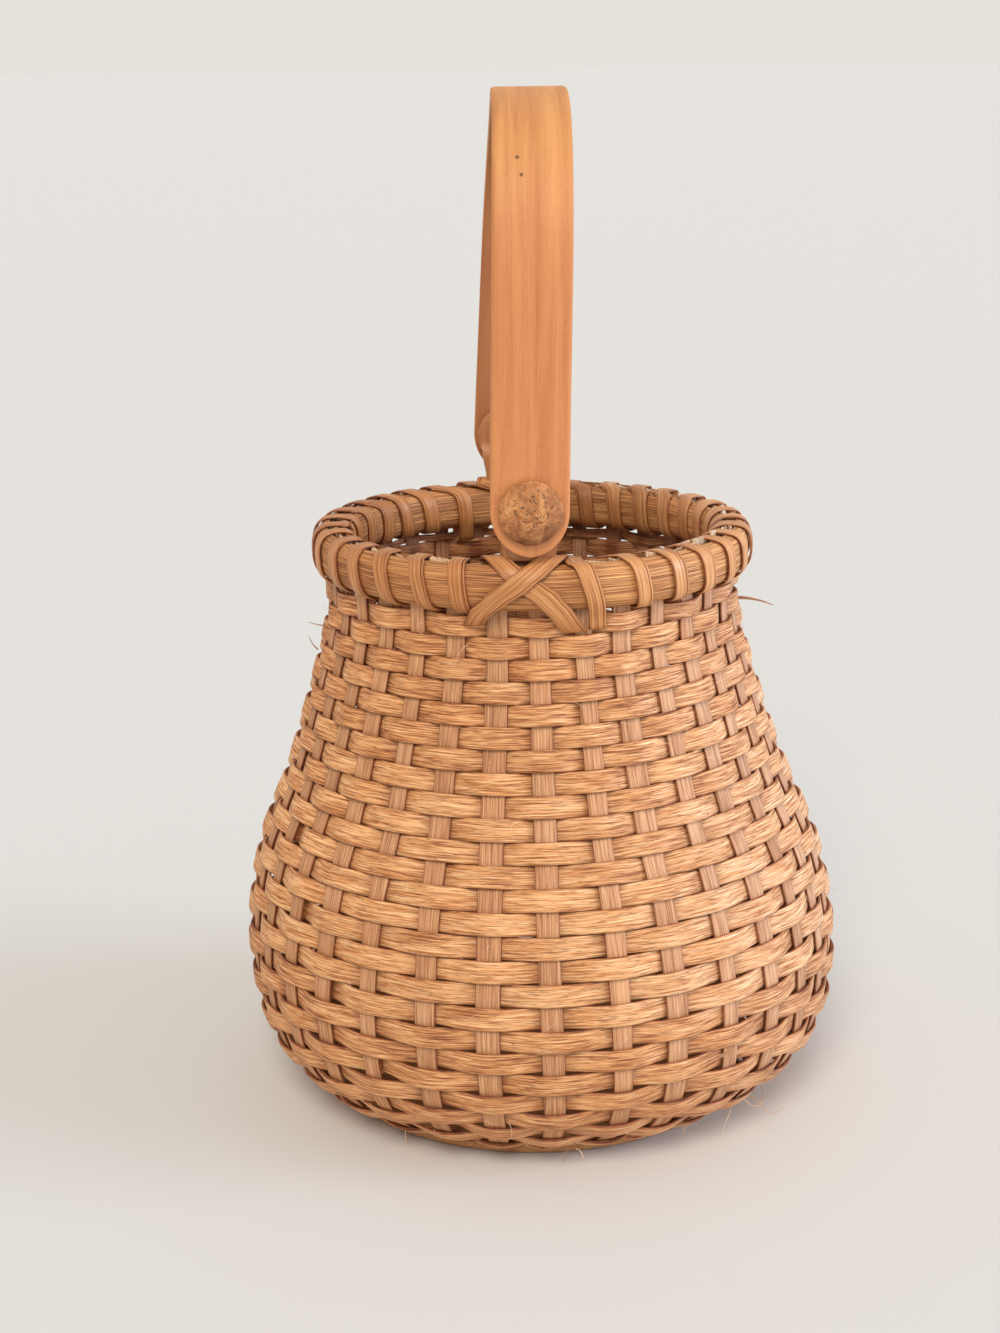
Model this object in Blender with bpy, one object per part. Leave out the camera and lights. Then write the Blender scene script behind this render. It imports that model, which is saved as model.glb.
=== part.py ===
"""A swing-handled basket: staves set in the groove of a turned wooden base, flat weavers wound
round them in one rising spiral, two rim hoops lashed together, and a bent handle on two pegs.

Metres, +Z up. The origin is the middle of the base's underside. The handle turns about a line
along Y. An azimuth is an angle about Z that starts at -Y, where the near ear is, and grows
towards +X. An arc is a length measured up the wall from the edge of the base.
"""

import math

import bmesh
import bpy
import numpy as np
from mathutils import Vector

# Base
BASE_RADIUS = 0.0760
BASE_THICKNESS = 0.0075
BASE_CHAMFER = 0.0015
GROOVE_DEPTH = 0.008
GROOVE_HEIGHT = 0.0040
GROOVE_CLEARANCE = 0.0004

# Wall, as the middle surface of the staves
BELLY_RADIUS = 0.1054
BELLY_HEIGHT = 0.063
NECK_RADIUS = 0.0709
NECK_HEIGHT = 0.1919
LOWER_PROFILE_SHARES = (
    (0.0, 0.0), (0.13, 0.036), (0.37, 0.105), (0.59, 0.202), (0.795, 0.334), (0.922, 0.49),
    (0.985, 0.661), (1.0, 1.0),
)
UPPER_PROFILE_SHARES = ((0.832, 0.225), (0.487, 0.448), (0.212, 0.675), (0.02, 0.87), (0.0, 1.0))
CURVE_STEPS = 24

# Staves
STAVE_COUNT = 33
STAVE_WIDTH = 0.0073
STAVE_THICKNESS = 0.0010
STAVE_TIP_DROP = 0.0008
FIRST_STAVE_SHARE = -1.16
BASE_WIDTH_SHARE = 0.86
RIM_WIDTH_SHARE = 0.84
RIM_EVEN_SHARE = 0.6
STAVE_SAG = 0.00030
STAVE_WIDTH_SHARES = (
    1.15, 1.05, 0.95, 1.10, 0.92, 1.02, 0.88, 0.97, 1.08, 0.93, 1.04,
    0.90, 1.00, 1.07, 0.94, 1.02, 0.89, 1.01, 0.98, 1.09, 0.91, 1.03,
    0.96, 1.06, 0.90, 1.00, 0.95, 1.05, 0.93, 1.00, 1.08, 0.92, 1.04,
)
STAVE_SHIFT_SHARES = (
    -0.02, 0.03, 0.22, 0.18, 0.28, 0.30, 0.24, 0.14, 0.04, -0.04, -0.03,
    0.03, 0.09, 0.05, -0.02, -0.09, -0.05, 0.02, 0.08, 0.11, 0.06, -0.01,
    -0.08, -0.04, 0.03, 0.07, 0.01, -0.08, -0.16, -0.24, -0.28, -0.24, -0.14,
)

# Weavers
WEAVER_LENGTHS = 9
CROSSINGS_PER_LENGTH = 98
WEAVER_WIDTH = 0.0064
WEAVER_THICKNESS = 0.0012
WEAVER_CROWN = 0.0006
MOST_CROWN_SHARE = 0.25
WEAVER_TIP = 0.0012
WEAVE_GAP = 0.00065
WEAVE_MARGIN = 0.0004
SPLICE_GAP = 0.0006
FIRST_ROW_ARC = 0.0022
LAST_ROW_DROP = 0.0020
ROW_TIGHTENING_SHARE = 0.045
LAST_CROSSING_STAVE = 24

# Rim hoops
HOOP_HEIGHT = 0.0154
OUTER_HOOP_THICKNESS = 0.0047
INNER_HOOP_THICKNESS = 0.0041
HOOP_CHAMFER = 0.0042
HOOP_CROWN_SHARE = 0.5
HOOP_STEPS = 48
SCARF_LENGTH = 0.050
SCARF_TIP_SHARE = 0.12
SCARF_GAP_SHARE = 0.09
OUTER_SCARF_AZIMUTH = 2.4
INNER_SCARF_AZIMUTH = 4.1
HOOP_GAP = 0.00045

# Rim lashing
LASHING_WIDTH = 0.0048
LASHING_THICKNESS = 0.0008
LASHING_GAP = 0.00045
LASHING_LIFT = 0.0019
LASHING_BACK_LIFT = 0.0004
LASHING_LEAN = 0.0048
LASHING_PITCH = 0.0063
LASHING_TUCK = 0.0120
CROSS_CLEARANCE = 0.0042
CROSS_STEPS = 5
CROSS_FRONT_SHARES = (0.2, 0.86)
CROSS_BACK_SHARES = (0.14, 0.8)
WRAP_SHARES = (0.3, 0.8)
WRAP_TOP_SHARE = 0.25
LEAST_LEAN_SHARE = 0.45

# Ears
EAR_TAIL_THICKNESS = 0.0021
EAR_BODY_THICKNESS = 0.0044
EAR_HEAD_THICKNESS = 0.0026
EAR_HEAD_RADIUS = 0.0114
EAR_STEM_WIDTH = 0.0168
EAR_TAIL_WIDTH = 0.0140
EAR_SHOULDER_DROP = 0.0055
EAR_SHOULDER_BEVEL = 0.0035
EAR_HEAD_TURNS = (0.0, 0.35, 0.7, 1.0, 1.25, 1.42)
EAR_GAP = 0.0003

# Pegs
PEG_RADIUS = 0.0047
PEG_HEAD_RADIUS = 0.0104
PEG_HEAD_HEIGHT = 0.0054
PEG_RISE = 0.0184
PEG_INNER_LENGTH = 0.0016
PEG_CHAMFER = 0.0008
PEG_DOME_TURNS = (1.1, 0.65, 0.25)
PEG_FIT = 0.0003

# Handle
HANDLE_WIDTH = 0.0254
HANDLE_THICKNESS = 0.0045
HANDLE_OFFSET = 0.0047
HANDLE_RISE = 0.1300
HANDLE_FOOT = 0.0146
ARCH_RISE = 0.0600
ARCH_POWER = 2.6
ARCH_STEPS = 24
HANDLE_END_TURNS = (1.45, 1.2, 0.9, 0.6, 0.3, 0.0)
HANDLE_EDGE = 0.0006
HANDLE_PLAY = 0.0005

# Facets
ROUND_STEPS = 20
BASE_STEPS = 32
POLE_MERGE = 0.000001
PROBE_SHARES = (0.25, 0.5, 0.75, 1.0)
SHARP_ANGLE = 0.6
CUT_OVERRUN = 0.004

RIM_TOP = NECK_HEIGHT + HOOP_HEIGHT
PEG_HEIGHT = RIM_TOP + PEG_RISE
OUTER_HOOP_FLAT = NECK_RADIUS + STAVE_THICKNESS / 2 + HOOP_GAP
EAR_OUTER = NECK_RADIUS - STAVE_THICKNESS / 2 - HOOP_GAP - EAR_STEM_WIDTH**2 / (8 * NECK_RADIUS)
EAR_INNER = EAR_OUTER - EAR_TAIL_THICKNESS
INNER_HOOP_FLAT = EAR_INNER - EAR_GAP
EAR_FACE = EAR_INNER + EAR_BODY_THICKNESS
EAR_TURN = math.asin(HANDLE_OFFSET / EAR_FACE)
LEG_INNER = (EAR_FACE + EAR_HEAD_RADIUS * math.sin(EAR_TURN)) / math.cos(EAR_TURN) + HANDLE_PLAY
LEG_MIDDLE = LEG_INNER + HANDLE_THICKNESS / 2
PEG_SHOULDER = LEG_INNER + HANDLE_THICKNESS + HANDLE_PLAY
PEG_INNER_END = EAR_FACE - EAR_HEAD_THICKNESS - PEG_INNER_LENGTH
OVER_OFFSET = STAVE_THICKNESS / 2 + WEAVE_GAP + WEAVER_THICKNESS / 2
CROSSINGS = WEAVER_LENGTHS * CROSSINGS_PER_LENGTH
STAVE_STEP = 2 * math.pi / STAVE_COUNT
NEAR_EAR = -EAR_TURN
FAR_EAR = math.pi + EAR_TURN


def clear_scene():
    for obj in list(bpy.data.objects):
        bpy.data.objects.remove(obj, do_unlink=True)


def new_collection(name):
    collection = bpy.data.collections.new(name)
    bpy.context.scene.collection.children.link(collection)
    return collection


def wood(name, colour, roughness):
    material = bpy.data.materials.new(name)
    material.use_nodes = True
    shader = material.node_tree.nodes["Principled BSDF"]
    shader.inputs["Base Color"].default_value = (*colour, 1.0)
    shader.inputs["Roughness"].default_value = roughness
    shader.inputs["Metallic"].default_value = 0.0
    material.diffuse_color = (*colour, 1.0)
    return material


def add_object(name, mesh, material, collection):
    obj = bpy.data.objects.new(name, mesh)
    obj.data.materials.append(material)
    collection.objects.link(obj)
    return obj


def finished(shape, mesh):
    """The mesh, filled from the shape: faces out, shaded smooth but for its sharp edges."""
    bmesh.ops.recalc_face_normals(shape, faces=shape.faces)
    shape.to_mesh(mesh)
    shape.free()
    mesh.shade_smooth()
    mesh.set_sharp_from_angle(angle=SHARP_ANGLE)
    return mesh


def loft(name, sections, material, collection, origin=Vector((0, 0, 0))):
    """A closed solid skinned over sections that each hold the same number of points."""
    mesh = bpy.data.meshes.new(name)
    shape = bmesh.new()
    rings = [[shape.verts.new(point - origin) for point in section] for section in sections]
    for lower, upper in zip(rings, rings[1:]):
        for i, corner in enumerate(lower):
            after = (i + 1) % len(lower)
            shape.faces.new((corner, lower[after], upper[after], upper[i]))
    shape.faces.new(rings[0])
    shape.faces.new(rings[-1])
    obj = add_object(name, finished(shape, mesh), material, collection)
    obj.location = origin
    return obj


def turned(name, profile, steps, material, collection):
    """A solid turned about its own Z from (radius, height) points of its profile."""
    mesh = bpy.data.meshes.new(name)
    shape = bmesh.new()
    points = [shape.verts.new((radius, 0, height)) for radius, height in profile]
    edges = [shape.edges.new(ends) for ends in zip(points, points[1:])]
    bmesh.ops.spin(
        shape, geom=points + edges, axis=(0, 0, 1), angle=2 * math.pi, steps=steps, use_merge=True
    )
    bmesh.ops.remove_doubles(shape, verts=shape.verts, dist=POLE_MERGE)
    return add_object(name, finished(shape, mesh), material, collection)


def at_azimuth(radius, azimuth, height):
    return Vector((radius * math.sin(azimuth), -radius * math.cos(azimuth), height))


def smooth_curve(points):
    """Points of a Catmull-Rom curve through the given ones."""
    points = np.array(points)
    ends = np.vstack([2 * points[0] - points[1], points, 2 * points[-1] - points[-2]])
    curve = []
    for before, start, end, after in zip(ends, ends[1:], ends[2:], ends[3:]):
        for step in range(CURVE_STEPS):
            t = step / CURVE_STEPS
            curve.append(
                start
                + t * (end - before) / 2
                + t**2 * (before - 2.5 * start + 2 * end - after / 2)
                + t**3 * (3 * start - 3 * end + after - before) / 2
            )
    curve.append(points[-1])
    return np.array(curve)


class Wall:
    """The staves' middle surface: a profile curve measured by its arc, turned about Z."""

    def __init__(self):
        lower = [
            (BASE_RADIUS + share * (BELLY_RADIUS - BASE_RADIUS),
             GROOVE_HEIGHT + rise * (BELLY_HEIGHT - GROOVE_HEIGHT))
            for share, rise in LOWER_PROFILE_SHARES
        ]
        upper = [
            (NECK_RADIUS + share * (BELLY_RADIUS - NECK_RADIUS),
             BELLY_HEIGHT + rise * (NECK_HEIGHT - BELLY_HEIGHT))
            for share, rise in UPPER_PROFILE_SHARES
        ]
        curve = smooth_curve(lower + upper)
        self.points = np.vstack([curve, (NECK_RADIUS, RIM_TOP - STAVE_TIP_DROP)])
        steps = np.linalg.norm(np.diff(self.points, axis=0), axis=1)
        self.arcs = np.concatenate([[0], np.cumsum(steps)])
        self.tip = self.arcs[-1]
        self.neck = self.arcs[-2]

    def at(self, arc):
        """Radius and height at an arc, which is negative inside the base's groove."""
        if arc < 0:
            return BASE_RADIUS + arc, GROOVE_HEIGHT
        return tuple(float(np.interp(arc, self.arcs, self.points[:, i])) for i in (0, 1))

    def stations(self):
        """Arcs up to the neck, as far apart as a straight run between them keeps to the curve."""
        kept = [0]
        for i in range(2, len(self.points) - 1):
            start = self.points[kept[-1]]
            run = self.points[i] - start
            passed = self.points[kept[-1]:i] - start
            sag = np.abs(run[0] * passed[:, 1] - run[1] * passed[:, 0]) / np.linalg.norm(run)
            if sag.max() > STAVE_SAG:
                kept.append(i - 1)
        return [*self.arcs[kept], self.neck]

    def slope(self, arc, reach):
        """The wall's unit direction up the profile, taken over a reach to both sides."""
        return (Vector(self.at(arc + reach)) - Vector(self.at(arc - reach))).normalized()

    def frame(self, arc, reach, azimuth):
        """A point of the wall with the directions up it and out of it."""
        radius, height = self.at(arc)
        along, rise = self.slope(arc, reach)
        outward = Vector((math.sin(azimuth), -math.cos(azimuth), 0))
        up = along * outward + Vector((0, 0, rise))
        out = rise * outward - Vector((0, 0, along))
        return at_azimuth(radius, azimuth, height), up, out


def stave_azimuth(stave, arc, wall):
    """Where a stave stands: the hand-set spacing is even again towards the rim."""
    shift = STAVE_SHIFT_SHARES[stave % STAVE_COUNT]
    evened = 1 - RIM_EVEN_SHARE * min(max(arc, 0) / wall.neck, 1)
    return STAVE_STEP * (FIRST_STAVE_SHARE + stave + shift * evened)


def stave_width(stave, arc, wall):
    share = min(max(arc, 0) / wall.neck, 1)
    belly = math.sin(math.pi * share)
    taper = BASE_WIDTH_SHARE + share * (RIM_WIDTH_SHARE - BASE_WIDTH_SHARE)
    return STAVE_WIDTH * STAVE_WIDTH_SHARES[stave % STAVE_COUNT] * (taper + belly * (1 - taper))


def make_base(material, collection):
    slot = STAVE_THICKNESS / 2 + GROOVE_CLEARANCE
    profile = (
        (0, BASE_THICKNESS),
        (BASE_RADIUS - BASE_CHAMFER, BASE_THICKNESS),
        (BASE_RADIUS, BASE_THICKNESS - BASE_CHAMFER),
        (BASE_RADIUS, GROOVE_HEIGHT + slot),
        (BASE_RADIUS - GROOVE_DEPTH, GROOVE_HEIGHT + slot),
        (BASE_RADIUS - GROOVE_DEPTH, GROOVE_HEIGHT - slot),
        (BASE_RADIUS, GROOVE_HEIGHT - slot),
        (BASE_RADIUS, BASE_CHAMFER),
        (BASE_RADIUS - BASE_CHAMFER, 0),
        (0, 0),
    )
    return turned("base", profile, BASE_STEPS, material, collection)


def make_stave(stave, wall, material, collection):
    """A flat strip from the groove, up the wall and between the hoops."""
    tail = GROOVE_CLEARANCE - GROOVE_DEPTH
    arcs = [tail, *wall.stations(), wall.tip]
    sections = []
    for i, arc in enumerate(arcs):
        reach = min(STAVE_WIDTH / 2, wall.tip - arc + STAVE_TIP_DROP)
        azimuth = stave_azimuth(stave, arc, wall)
        middle, up, out = wall.frame(arc, reach, azimuth)
        if i == 0:
            up, out = wall.frame(arc, GROOVE_CLEARANCE, azimuth)[1:]
        across = up.cross(out).normalized() * stave_width(stave, arc, wall) / 2
        thick = out * STAVE_THICKNESS / 2
        sections.append([middle - across - thick, middle + across - thick,
                         middle + across + thick, middle - across + thick])
    return loft(f"stave_{stave + 1:02d}", sections, material, collection)


class Weave:
    """The spiral: the rows' heights at each crossing and how far a weaver stands off a stave."""

    def __init__(self, wall):
        self.wall = wall
        self.bottom = FIRST_ROW_ARC
        self.top = wall.neck - LAST_ROW_DROP
        self.first = self.bottom + WEAVER_TIP - WEAVER_WIDTH / 2
        self.climb = self.top - WEAVER_TIP + WEAVER_WIDTH / 2 - self.first
        self.first_stave = (LAST_CROSSING_STAVE - CROSSINGS) % STAVE_COUNT

    def edges(self, crossing):
        """Lower and upper arc of the row. The first and last turns are tapered to start level."""
        share = crossing / CROSSINGS
        middle = self.first + self.climb * (share + ROW_TIGHTENING_SHARE * share * (1 - share))
        low = max(middle - WEAVER_WIDTH / 2, self.bottom)
        high = min(middle + WEAVER_WIDTH / 2, self.top)
        return low, high

    def section(self, crossing, azimuth, offset):
        low, high = self.edges(crossing)
        middle, up, out = self.wall.frame((low + high) / 2, WEAVER_WIDTH / 2, azimuth)
        centre = middle + out * offset
        half = up * (high - low) / 2
        crown = up * min(WEAVER_CROWN, (high - low) * MOST_CROWN_SHARE)
        thick = out * WEAVER_THICKNESS / 2
        return [centre - half - thick, centre + half - thick,
                centre + half - crown + thick, centre - half + crown + thick]

    def place(self, crossing):
        """Azimuth, wall radius and half the stave's width, with its margin, at a crossing."""
        stave = (self.first_stave + crossing) % STAVE_COUNT
        arc = sum(self.edges(crossing)) / 2
        azimuth = stave_azimuth(stave, arc, self.wall)
        return azimuth, self.wall.at(arc)[0], stave_width(stave, arc, self.wall) / 2 + WEAVE_MARGIN

    def under_offset(self, crossing):
        """How deep the weaver turns behind a stave, so that it clears the stave's edges."""
        azimuth, radius, half = self.place(crossing)
        runs = []
        for beside in (crossing - 1, crossing + 1):
            other, _, other_half = self.place(beside)
            apart = abs(math.remainder(other - azimuth, 2 * math.pi)) * radius
            runs.append((apart - other_half - half) / (apart - other_half))
        return 2 * OVER_OFFSET / min(runs) - OVER_OFFSET

    def stations(self, crossing, first, last):
        azimuth, radius, half = self.place(crossing)
        if crossing % 2:
            for side in (-1, 1):
                turn = side * half / radius
                yield self.section(crossing + turn / STAVE_STEP, azimuth + turn, OVER_OFFSET)
            return
        turn = 0
        if crossing in (first, last):
            turn = SPLICE_GAP / 2 / radius * (1 if crossing == first else -1)
        offset = -self.under_offset(crossing)
        yield self.section(crossing + turn / STAVE_STEP, azimuth + turn, offset)


def make_weaver(number, weave, material, collection):
    first = number * CROSSINGS_PER_LENGTH
    last = first + CROSSINGS_PER_LENGTH
    sections = [
        section
        for crossing in range(first, last + 1)
        for section in weave.stations(crossing, first, last)
    ]
    return loft(f"weaver_{number + 1}", sections, material, collection)


def make_hoop(name, flat, side, thickness, scarf, material, collection):
    """A half-round strip bent to a ring, its tapered ends lapped. side is 1 for a crown facing out."""
    lap = SCARF_LENGTH / flat
    lap_steps = math.ceil(HOOP_STEPS * lap / (2 * math.pi))
    lap_turns = [lap * (i / lap_steps) for i in range(lap_steps + 1)]
    free_steps = HOOP_STEPS - lap_steps
    free_turns = [lap + (2 * math.pi - lap) * i / free_steps for i in range(1, free_steps)]
    wedge = 1 - 2 * SCARF_TIP_SHARE - SCARF_GAP_SHARE
    sections = []
    for turn in lap_turns + free_turns + [2 * math.pi + turn for turn in lap_turns]:
        near, far = 0.0, 1.0
        tapered = SCARF_TIP_SHARE + wedge * (turn % (2 * math.pi)) / lap
        if turn <= lap:
            far = tapered
        elif turn >= 2 * math.pi:
            near = tapered + SCARF_GAP_SHARE
        crown = near + (far - near) * HOOP_CROWN_SHARE
        insets = [
            HOOP_CHAMFER * max(share - HOOP_CROWN_SHARE, 0) / (1 - HOOP_CROWN_SHARE)
            for share in (near, crown, far)
        ]
        depths = [share * thickness for share in (near, crown, far)]
        outline = [(depth, RIM_TOP - inset) for depth, inset in zip(depths, insets)]
        outline += [(depth, NECK_HEIGHT + inset) for depth, inset in zip(depths[::-1], insets[::-1])]
        sections.append([at_azimuth(flat + side * depth, scarf + turn, z) for depth, z in outline])
    return loft(name, sections, material, collection)


def rim_corners(distance):
    """(place, way out) of the corners round both hoops, in (radius, height): down the outside, then
    up the inside. The places are pushed out by a distance that is kept all along the faces between."""
    outer, inner = OUTER_HOOP_FLAT + OUTER_HOOP_THICKNESS, INNER_HOOP_FLAT - INNER_HOOP_THICKNESS
    outer_edge = outer - OUTER_HOOP_THICKNESS * (1 - HOOP_CROWN_SHARE)
    inner_edge = inner + INNER_HOOP_THICKNESS * (1 - HOOP_CROWN_SHARE)
    high, low = RIM_TOP - HOOP_CHAMFER, NECK_HEIGHT + HOOP_CHAMFER
    corners = [
        Vector(corner) for corner in (
            (outer_edge, RIM_TOP), (outer, high), (outer, low), (outer_edge, NECK_HEIGHT),
            (inner_edge, NECK_HEIGHT), (inner, low), (inner, high), (inner_edge, RIM_TOP),
        )
    ]
    pushed = []
    for i, corner in enumerate(corners):
        before = (corner - corners[i - 1]).normalized()
        after = (corners[(i + 1) % len(corners)] - corner).normalized()
        normals = [Vector((-edge.y, edge.x)) for edge in (before, after)]
        bisector = (normals[0] + normals[1]).normalized()
        mitre = bisector / bisector.dot(normals[0])
        pushed.append((corner + mitre * distance, mitre))
    return pushed


TOP_OUT, HIGH_OUT, LOW_OUT, UNDER_OUT, UNDER_IN, LOW_IN, HIGH_IN, TOP_IN = range(8)


def strand(start, end, corners, parts, lift=0.0):
    """(point, direction along the rim, way out) stops from one (azimuth, corner) to another."""
    (turn, corner), (last_turn, last_corner) = start, end
    place, mitre = corners[corner]
    last_place, last_mitre = corners[last_corner]
    for i in range(parts + 1):
        share = i / parts
        out = mitre.lerp(last_mitre, share)
        point = place.lerp(last_place, share) + out * lift * math.sqrt(abs(math.sin(math.pi * share)))
        azimuth = turn + (last_turn - turn) * share
        rim = Vector((math.cos(azimuth), math.sin(azimuth), 0))
        outward = Vector((math.sin(azimuth), -math.cos(azimuth), 0))
        yield at_azimuth(point.x, azimuth, point.y), rim, out.x * outward + Vector((0, 0, out.y))


def lashing_stops(ear, left_gap, right_gap, last_gap, next_ear, wall):
    """The strip's way: across the ear's front and back, round the rim, and to the next ear."""
    corners = rim_corners(LASHING_GAP + LASHING_THICKNESS / 2)
    lean, pitch = LASHING_LEAN / NECK_RADIUS, LASHING_PITCH / NECK_RADIUS
    beside = (EAR_STEM_WIDTH / 2 + CROSS_CLEARANCE) / NECK_RADIUS

    def gap(index):
        return sum(stave_azimuth(stave, wall.neck, wall) for stave in (index, index + 1)) / 2

    def between(start, end, shares):
        return [start + (end - start) * share for share in shares]

    left = gap(left_gap)
    crossed = ear + beside
    stops = [*strand((crossed, TOP_IN), (crossed, TOP_OUT), corners, 1)]
    high, low = between(crossed, left, CROSS_FRONT_SHARES)
    stops += strand((high, HIGH_OUT), (low, LOW_OUT), corners, CROSS_STEPS, LASHING_LIFT)
    stops += strand((left, UNDER_OUT), (left, UNDER_IN), corners, 1)
    back = crossed + pitch
    low, high = between(left, back, CROSS_BACK_SHARES)
    stops += strand((low, LOW_IN), (high, HIGH_IN), corners, CROSS_STEPS, LASHING_BACK_LIFT)
    tops = back + lean * WRAP_TOP_SHARE
    stops += strand((back, TOP_IN), (tops, TOP_OUT), corners, 1)
    for index in range(right_gap, last_gap + 1):
        under = gap(index)
        high, low = between(tops, under, WRAP_SHARES)
        stops += strand((high, HIGH_OUT), (low, LOW_OUT), corners, 1)
        stops += strand((under, UNDER_OUT), (under, UNDER_IN), corners, 1)
        low, high = between(under, under + lean, WRAP_SHARES)
        stops += strand((low, LOW_IN), (high, HIGH_IN), corners, 1)
        tops = next_ear - beside if index == last_gap else gap(index + 1) - lean
        stops += strand((under + lean, TOP_IN), (tops, TOP_OUT), corners, 1)
    end = next_ear + ear - left - LASHING_TUCK / NECK_RADIUS
    high, low = between(tops, end, CROSS_FRONT_SHARES)
    stops += strand((high, HIGH_OUT), (low, LOW_OUT), corners, CROSS_STEPS)
    return stops


def strip_sections(stops):
    """Sections that lie along the rim, so that a leaning strip stays parallel to the hoops' faces."""
    sections = []
    for i, (point, rim, out) in enumerate(stops):
        before = stops[max(i - 1, 0)][0]
        after = stops[min(i + 1, len(stops) - 1)][0]
        lean = (after - before).normalized().cross(rim).length
        wide = rim * LASHING_WIDTH / 2 / max(lean, LEAST_LEAN_SHARE)
        thick = out * LASHING_THICKNESS / 2
        sections.append([point - wide - thick, point + wide - thick,
                         point + wide + thick, point - wide + thick])
    return sections


def least_gap(sections, apart):
    """The least distance between stretches of a strip that lie further apart along it."""
    corners = np.array([[tuple(point) for point in section] for section in sections])
    fine = [corners[0]]
    for start, end in zip(corners, corners[1:]):
        fine += [start + (end - start) * share for share in PROBE_SHARES]
    fine = np.array(fine)
    rows = np.concatenate([fine, (fine + np.roll(fine, 1, axis=1)) / 2], axis=1)
    middles = fine.mean(axis=1)
    way = np.concatenate([[0], np.cumsum(np.linalg.norm(np.diff(middles, axis=0), axis=1))])
    least = math.inf
    for i, row in enumerate(rows):
        far = rows[way > way[i] + apart]
        if len(far):
            spans = np.linalg.norm(far[:, :, None, :] - row[None, None], axis=-1)
            least = min(least, spans.min())
    return least


def make_lashing(name, stops, material, collection):
    sections = strip_sections(stops)
    print(f"{name}: least gap to itself {least_gap(sections, HOOP_HEIGHT) * 1000:.2f} mm")
    return loft(name, sections, material, collection)


def peg_origin():
    return Vector((-HANDLE_OFFSET, 0, PEG_HEIGHT))


def bored(obj, radius, start, end, side, cutters):
    """Cuts a hole along Y on the pegs' axis, from one distance off the middle to another."""
    mesh = bpy.data.meshes.new(obj.name + "_bore")
    shape = bmesh.new()
    bmesh.ops.create_cone(
        shape, cap_ends=True, segments=ROUND_STEPS, radius1=radius, radius2=radius, depth=end - start
    )
    shape.to_mesh(mesh)
    shape.free()
    cutter = bpy.data.objects.new(obj.name + "_bore", mesh)
    cutters.objects.link(cutter)
    cutter.location = peg_origin() + Vector((0, side * (start + end) / 2, 0))
    cutter.rotation_euler = (math.pi / 2, 0, 0)
    cutter.hide_render = True
    cutter.display_type = "WIRE"
    cut = obj.modifiers.new("Bore", "BOOLEAN")
    cut.operation = "DIFFERENCE"
    cut.object = cutter


def make_ear(name, azimuth, side, material, collection, cutters):
    """A flat ear held between the hoops: a thin tail, a thicker body and a round, thinner head."""
    stem, head = EAR_STEM_WIDTH / 2, EAR_HEAD_RADIUS
    body, thin = EAR_INNER, EAR_FACE - EAR_HEAD_THICKNESS
    clear = RIM_TOP + LASHING_GAP + LASHING_THICKNESS
    shoulder = PEG_HEIGHT - EAR_SHOULDER_DROP
    flare = math.sqrt(head**2 - EAR_SHOULDER_DROP**2)
    tail_end = NECK_HEIGHT + HOOP_GAP
    stations = [
        (tail_end, EAR_TAIL_WIDTH / 2, EAR_INNER, EAR_OUTER),
        (RIM_TOP, stem, EAR_INNER, EAR_OUTER),
        (clear, stem, body, EAR_FACE),
        ((clear + shoulder) / 2, (stem + flare) / 2, body, EAR_FACE),
        (shoulder, flare, body, EAR_FACE),
    ]
    bevelled = shoulder + EAR_SHOULDER_BEVEL
    stations.append((bevelled, math.sqrt(head**2 - (bevelled - PEG_HEIGHT) ** 2), thin, EAR_FACE))
    for turn in EAR_HEAD_TURNS:
        stations.append((PEG_HEIGHT + head * math.sin(turn), head * math.cos(turn), thin, EAR_FACE))
    out = Vector((math.sin(azimuth), -math.cos(azimuth), 0))
    across = Vector((math.cos(azimuth), math.sin(azimuth), 0))
    up = Vector((0, 0, 1))
    sections = [
        [out * inner - across * half + up * z, out * inner + across * half + up * z,
         out * outer + across * half + up * z, out * outer - across * half + up * z]
        for z, half, inner, outer in stations
    ]
    ear = loft(name, sections, material, collection)
    reach = (EAR_INNER - CUT_OVERRUN, EAR_FACE + CUT_OVERRUN)
    bored(ear, PEG_RADIUS + PEG_FIT, *reach, side, cutters)
    return ear


def make_peg(name, side, material, collection):
    """A turned peg with a domed head outside the handle. Its inner end stands out of the ear."""
    profile = [(0, PEG_SHOULDER + PEG_HEAD_HEIGHT)]
    profile += [
        (PEG_HEAD_RADIUS * math.cos(turn), PEG_SHOULDER + PEG_HEAD_HEIGHT * math.sin(turn))
        for turn in PEG_DOME_TURNS
    ]
    profile += [
        (PEG_HEAD_RADIUS, PEG_SHOULDER),
        (PEG_RADIUS, PEG_SHOULDER),
        (PEG_RADIUS, PEG_INNER_END + PEG_CHAMFER),
        (PEG_RADIUS - PEG_CHAMFER, PEG_INNER_END),
        (0, PEG_INNER_END),
    ]
    peg = turned(name, profile, ROUND_STEPS, material, collection)
    peg.location = peg_origin()
    peg.rotation_euler = (-side * math.pi / 2, 0, 0)
    return peg


def handle_stops():
    """(along Y, height, half width) up the strap's middle, from its near round end to its far."""
    half = HANDLE_WIDTH / 2
    arch_foot = PEG_HEIGHT + HANDLE_RISE - HANDLE_THICKNESS / 2 - ARCH_RISE
    leg = [
        (LEG_MIDDLE, PEG_HEIGHT - HANDLE_FOOT * math.sin(turn), half * math.cos(turn))
        for turn in HANDLE_END_TURNS
    ]
    leg.append((LEG_MIDDLE, arch_foot, half))
    arch = []
    for i in range(1, ARCH_STEPS):
        turn = math.pi * i / ARCH_STEPS
        along = math.copysign(abs(math.cos(turn)) ** (2 / ARCH_POWER), -math.cos(turn))
        rise = math.sin(turn) ** (2 / ARCH_POWER)
        arch.append((LEG_MIDDLE * along, arch_foot + ARCH_RISE * rise, half))
    return [(-along, height, wide) for along, height, wide in leg] + arch + leg[::-1]


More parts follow.
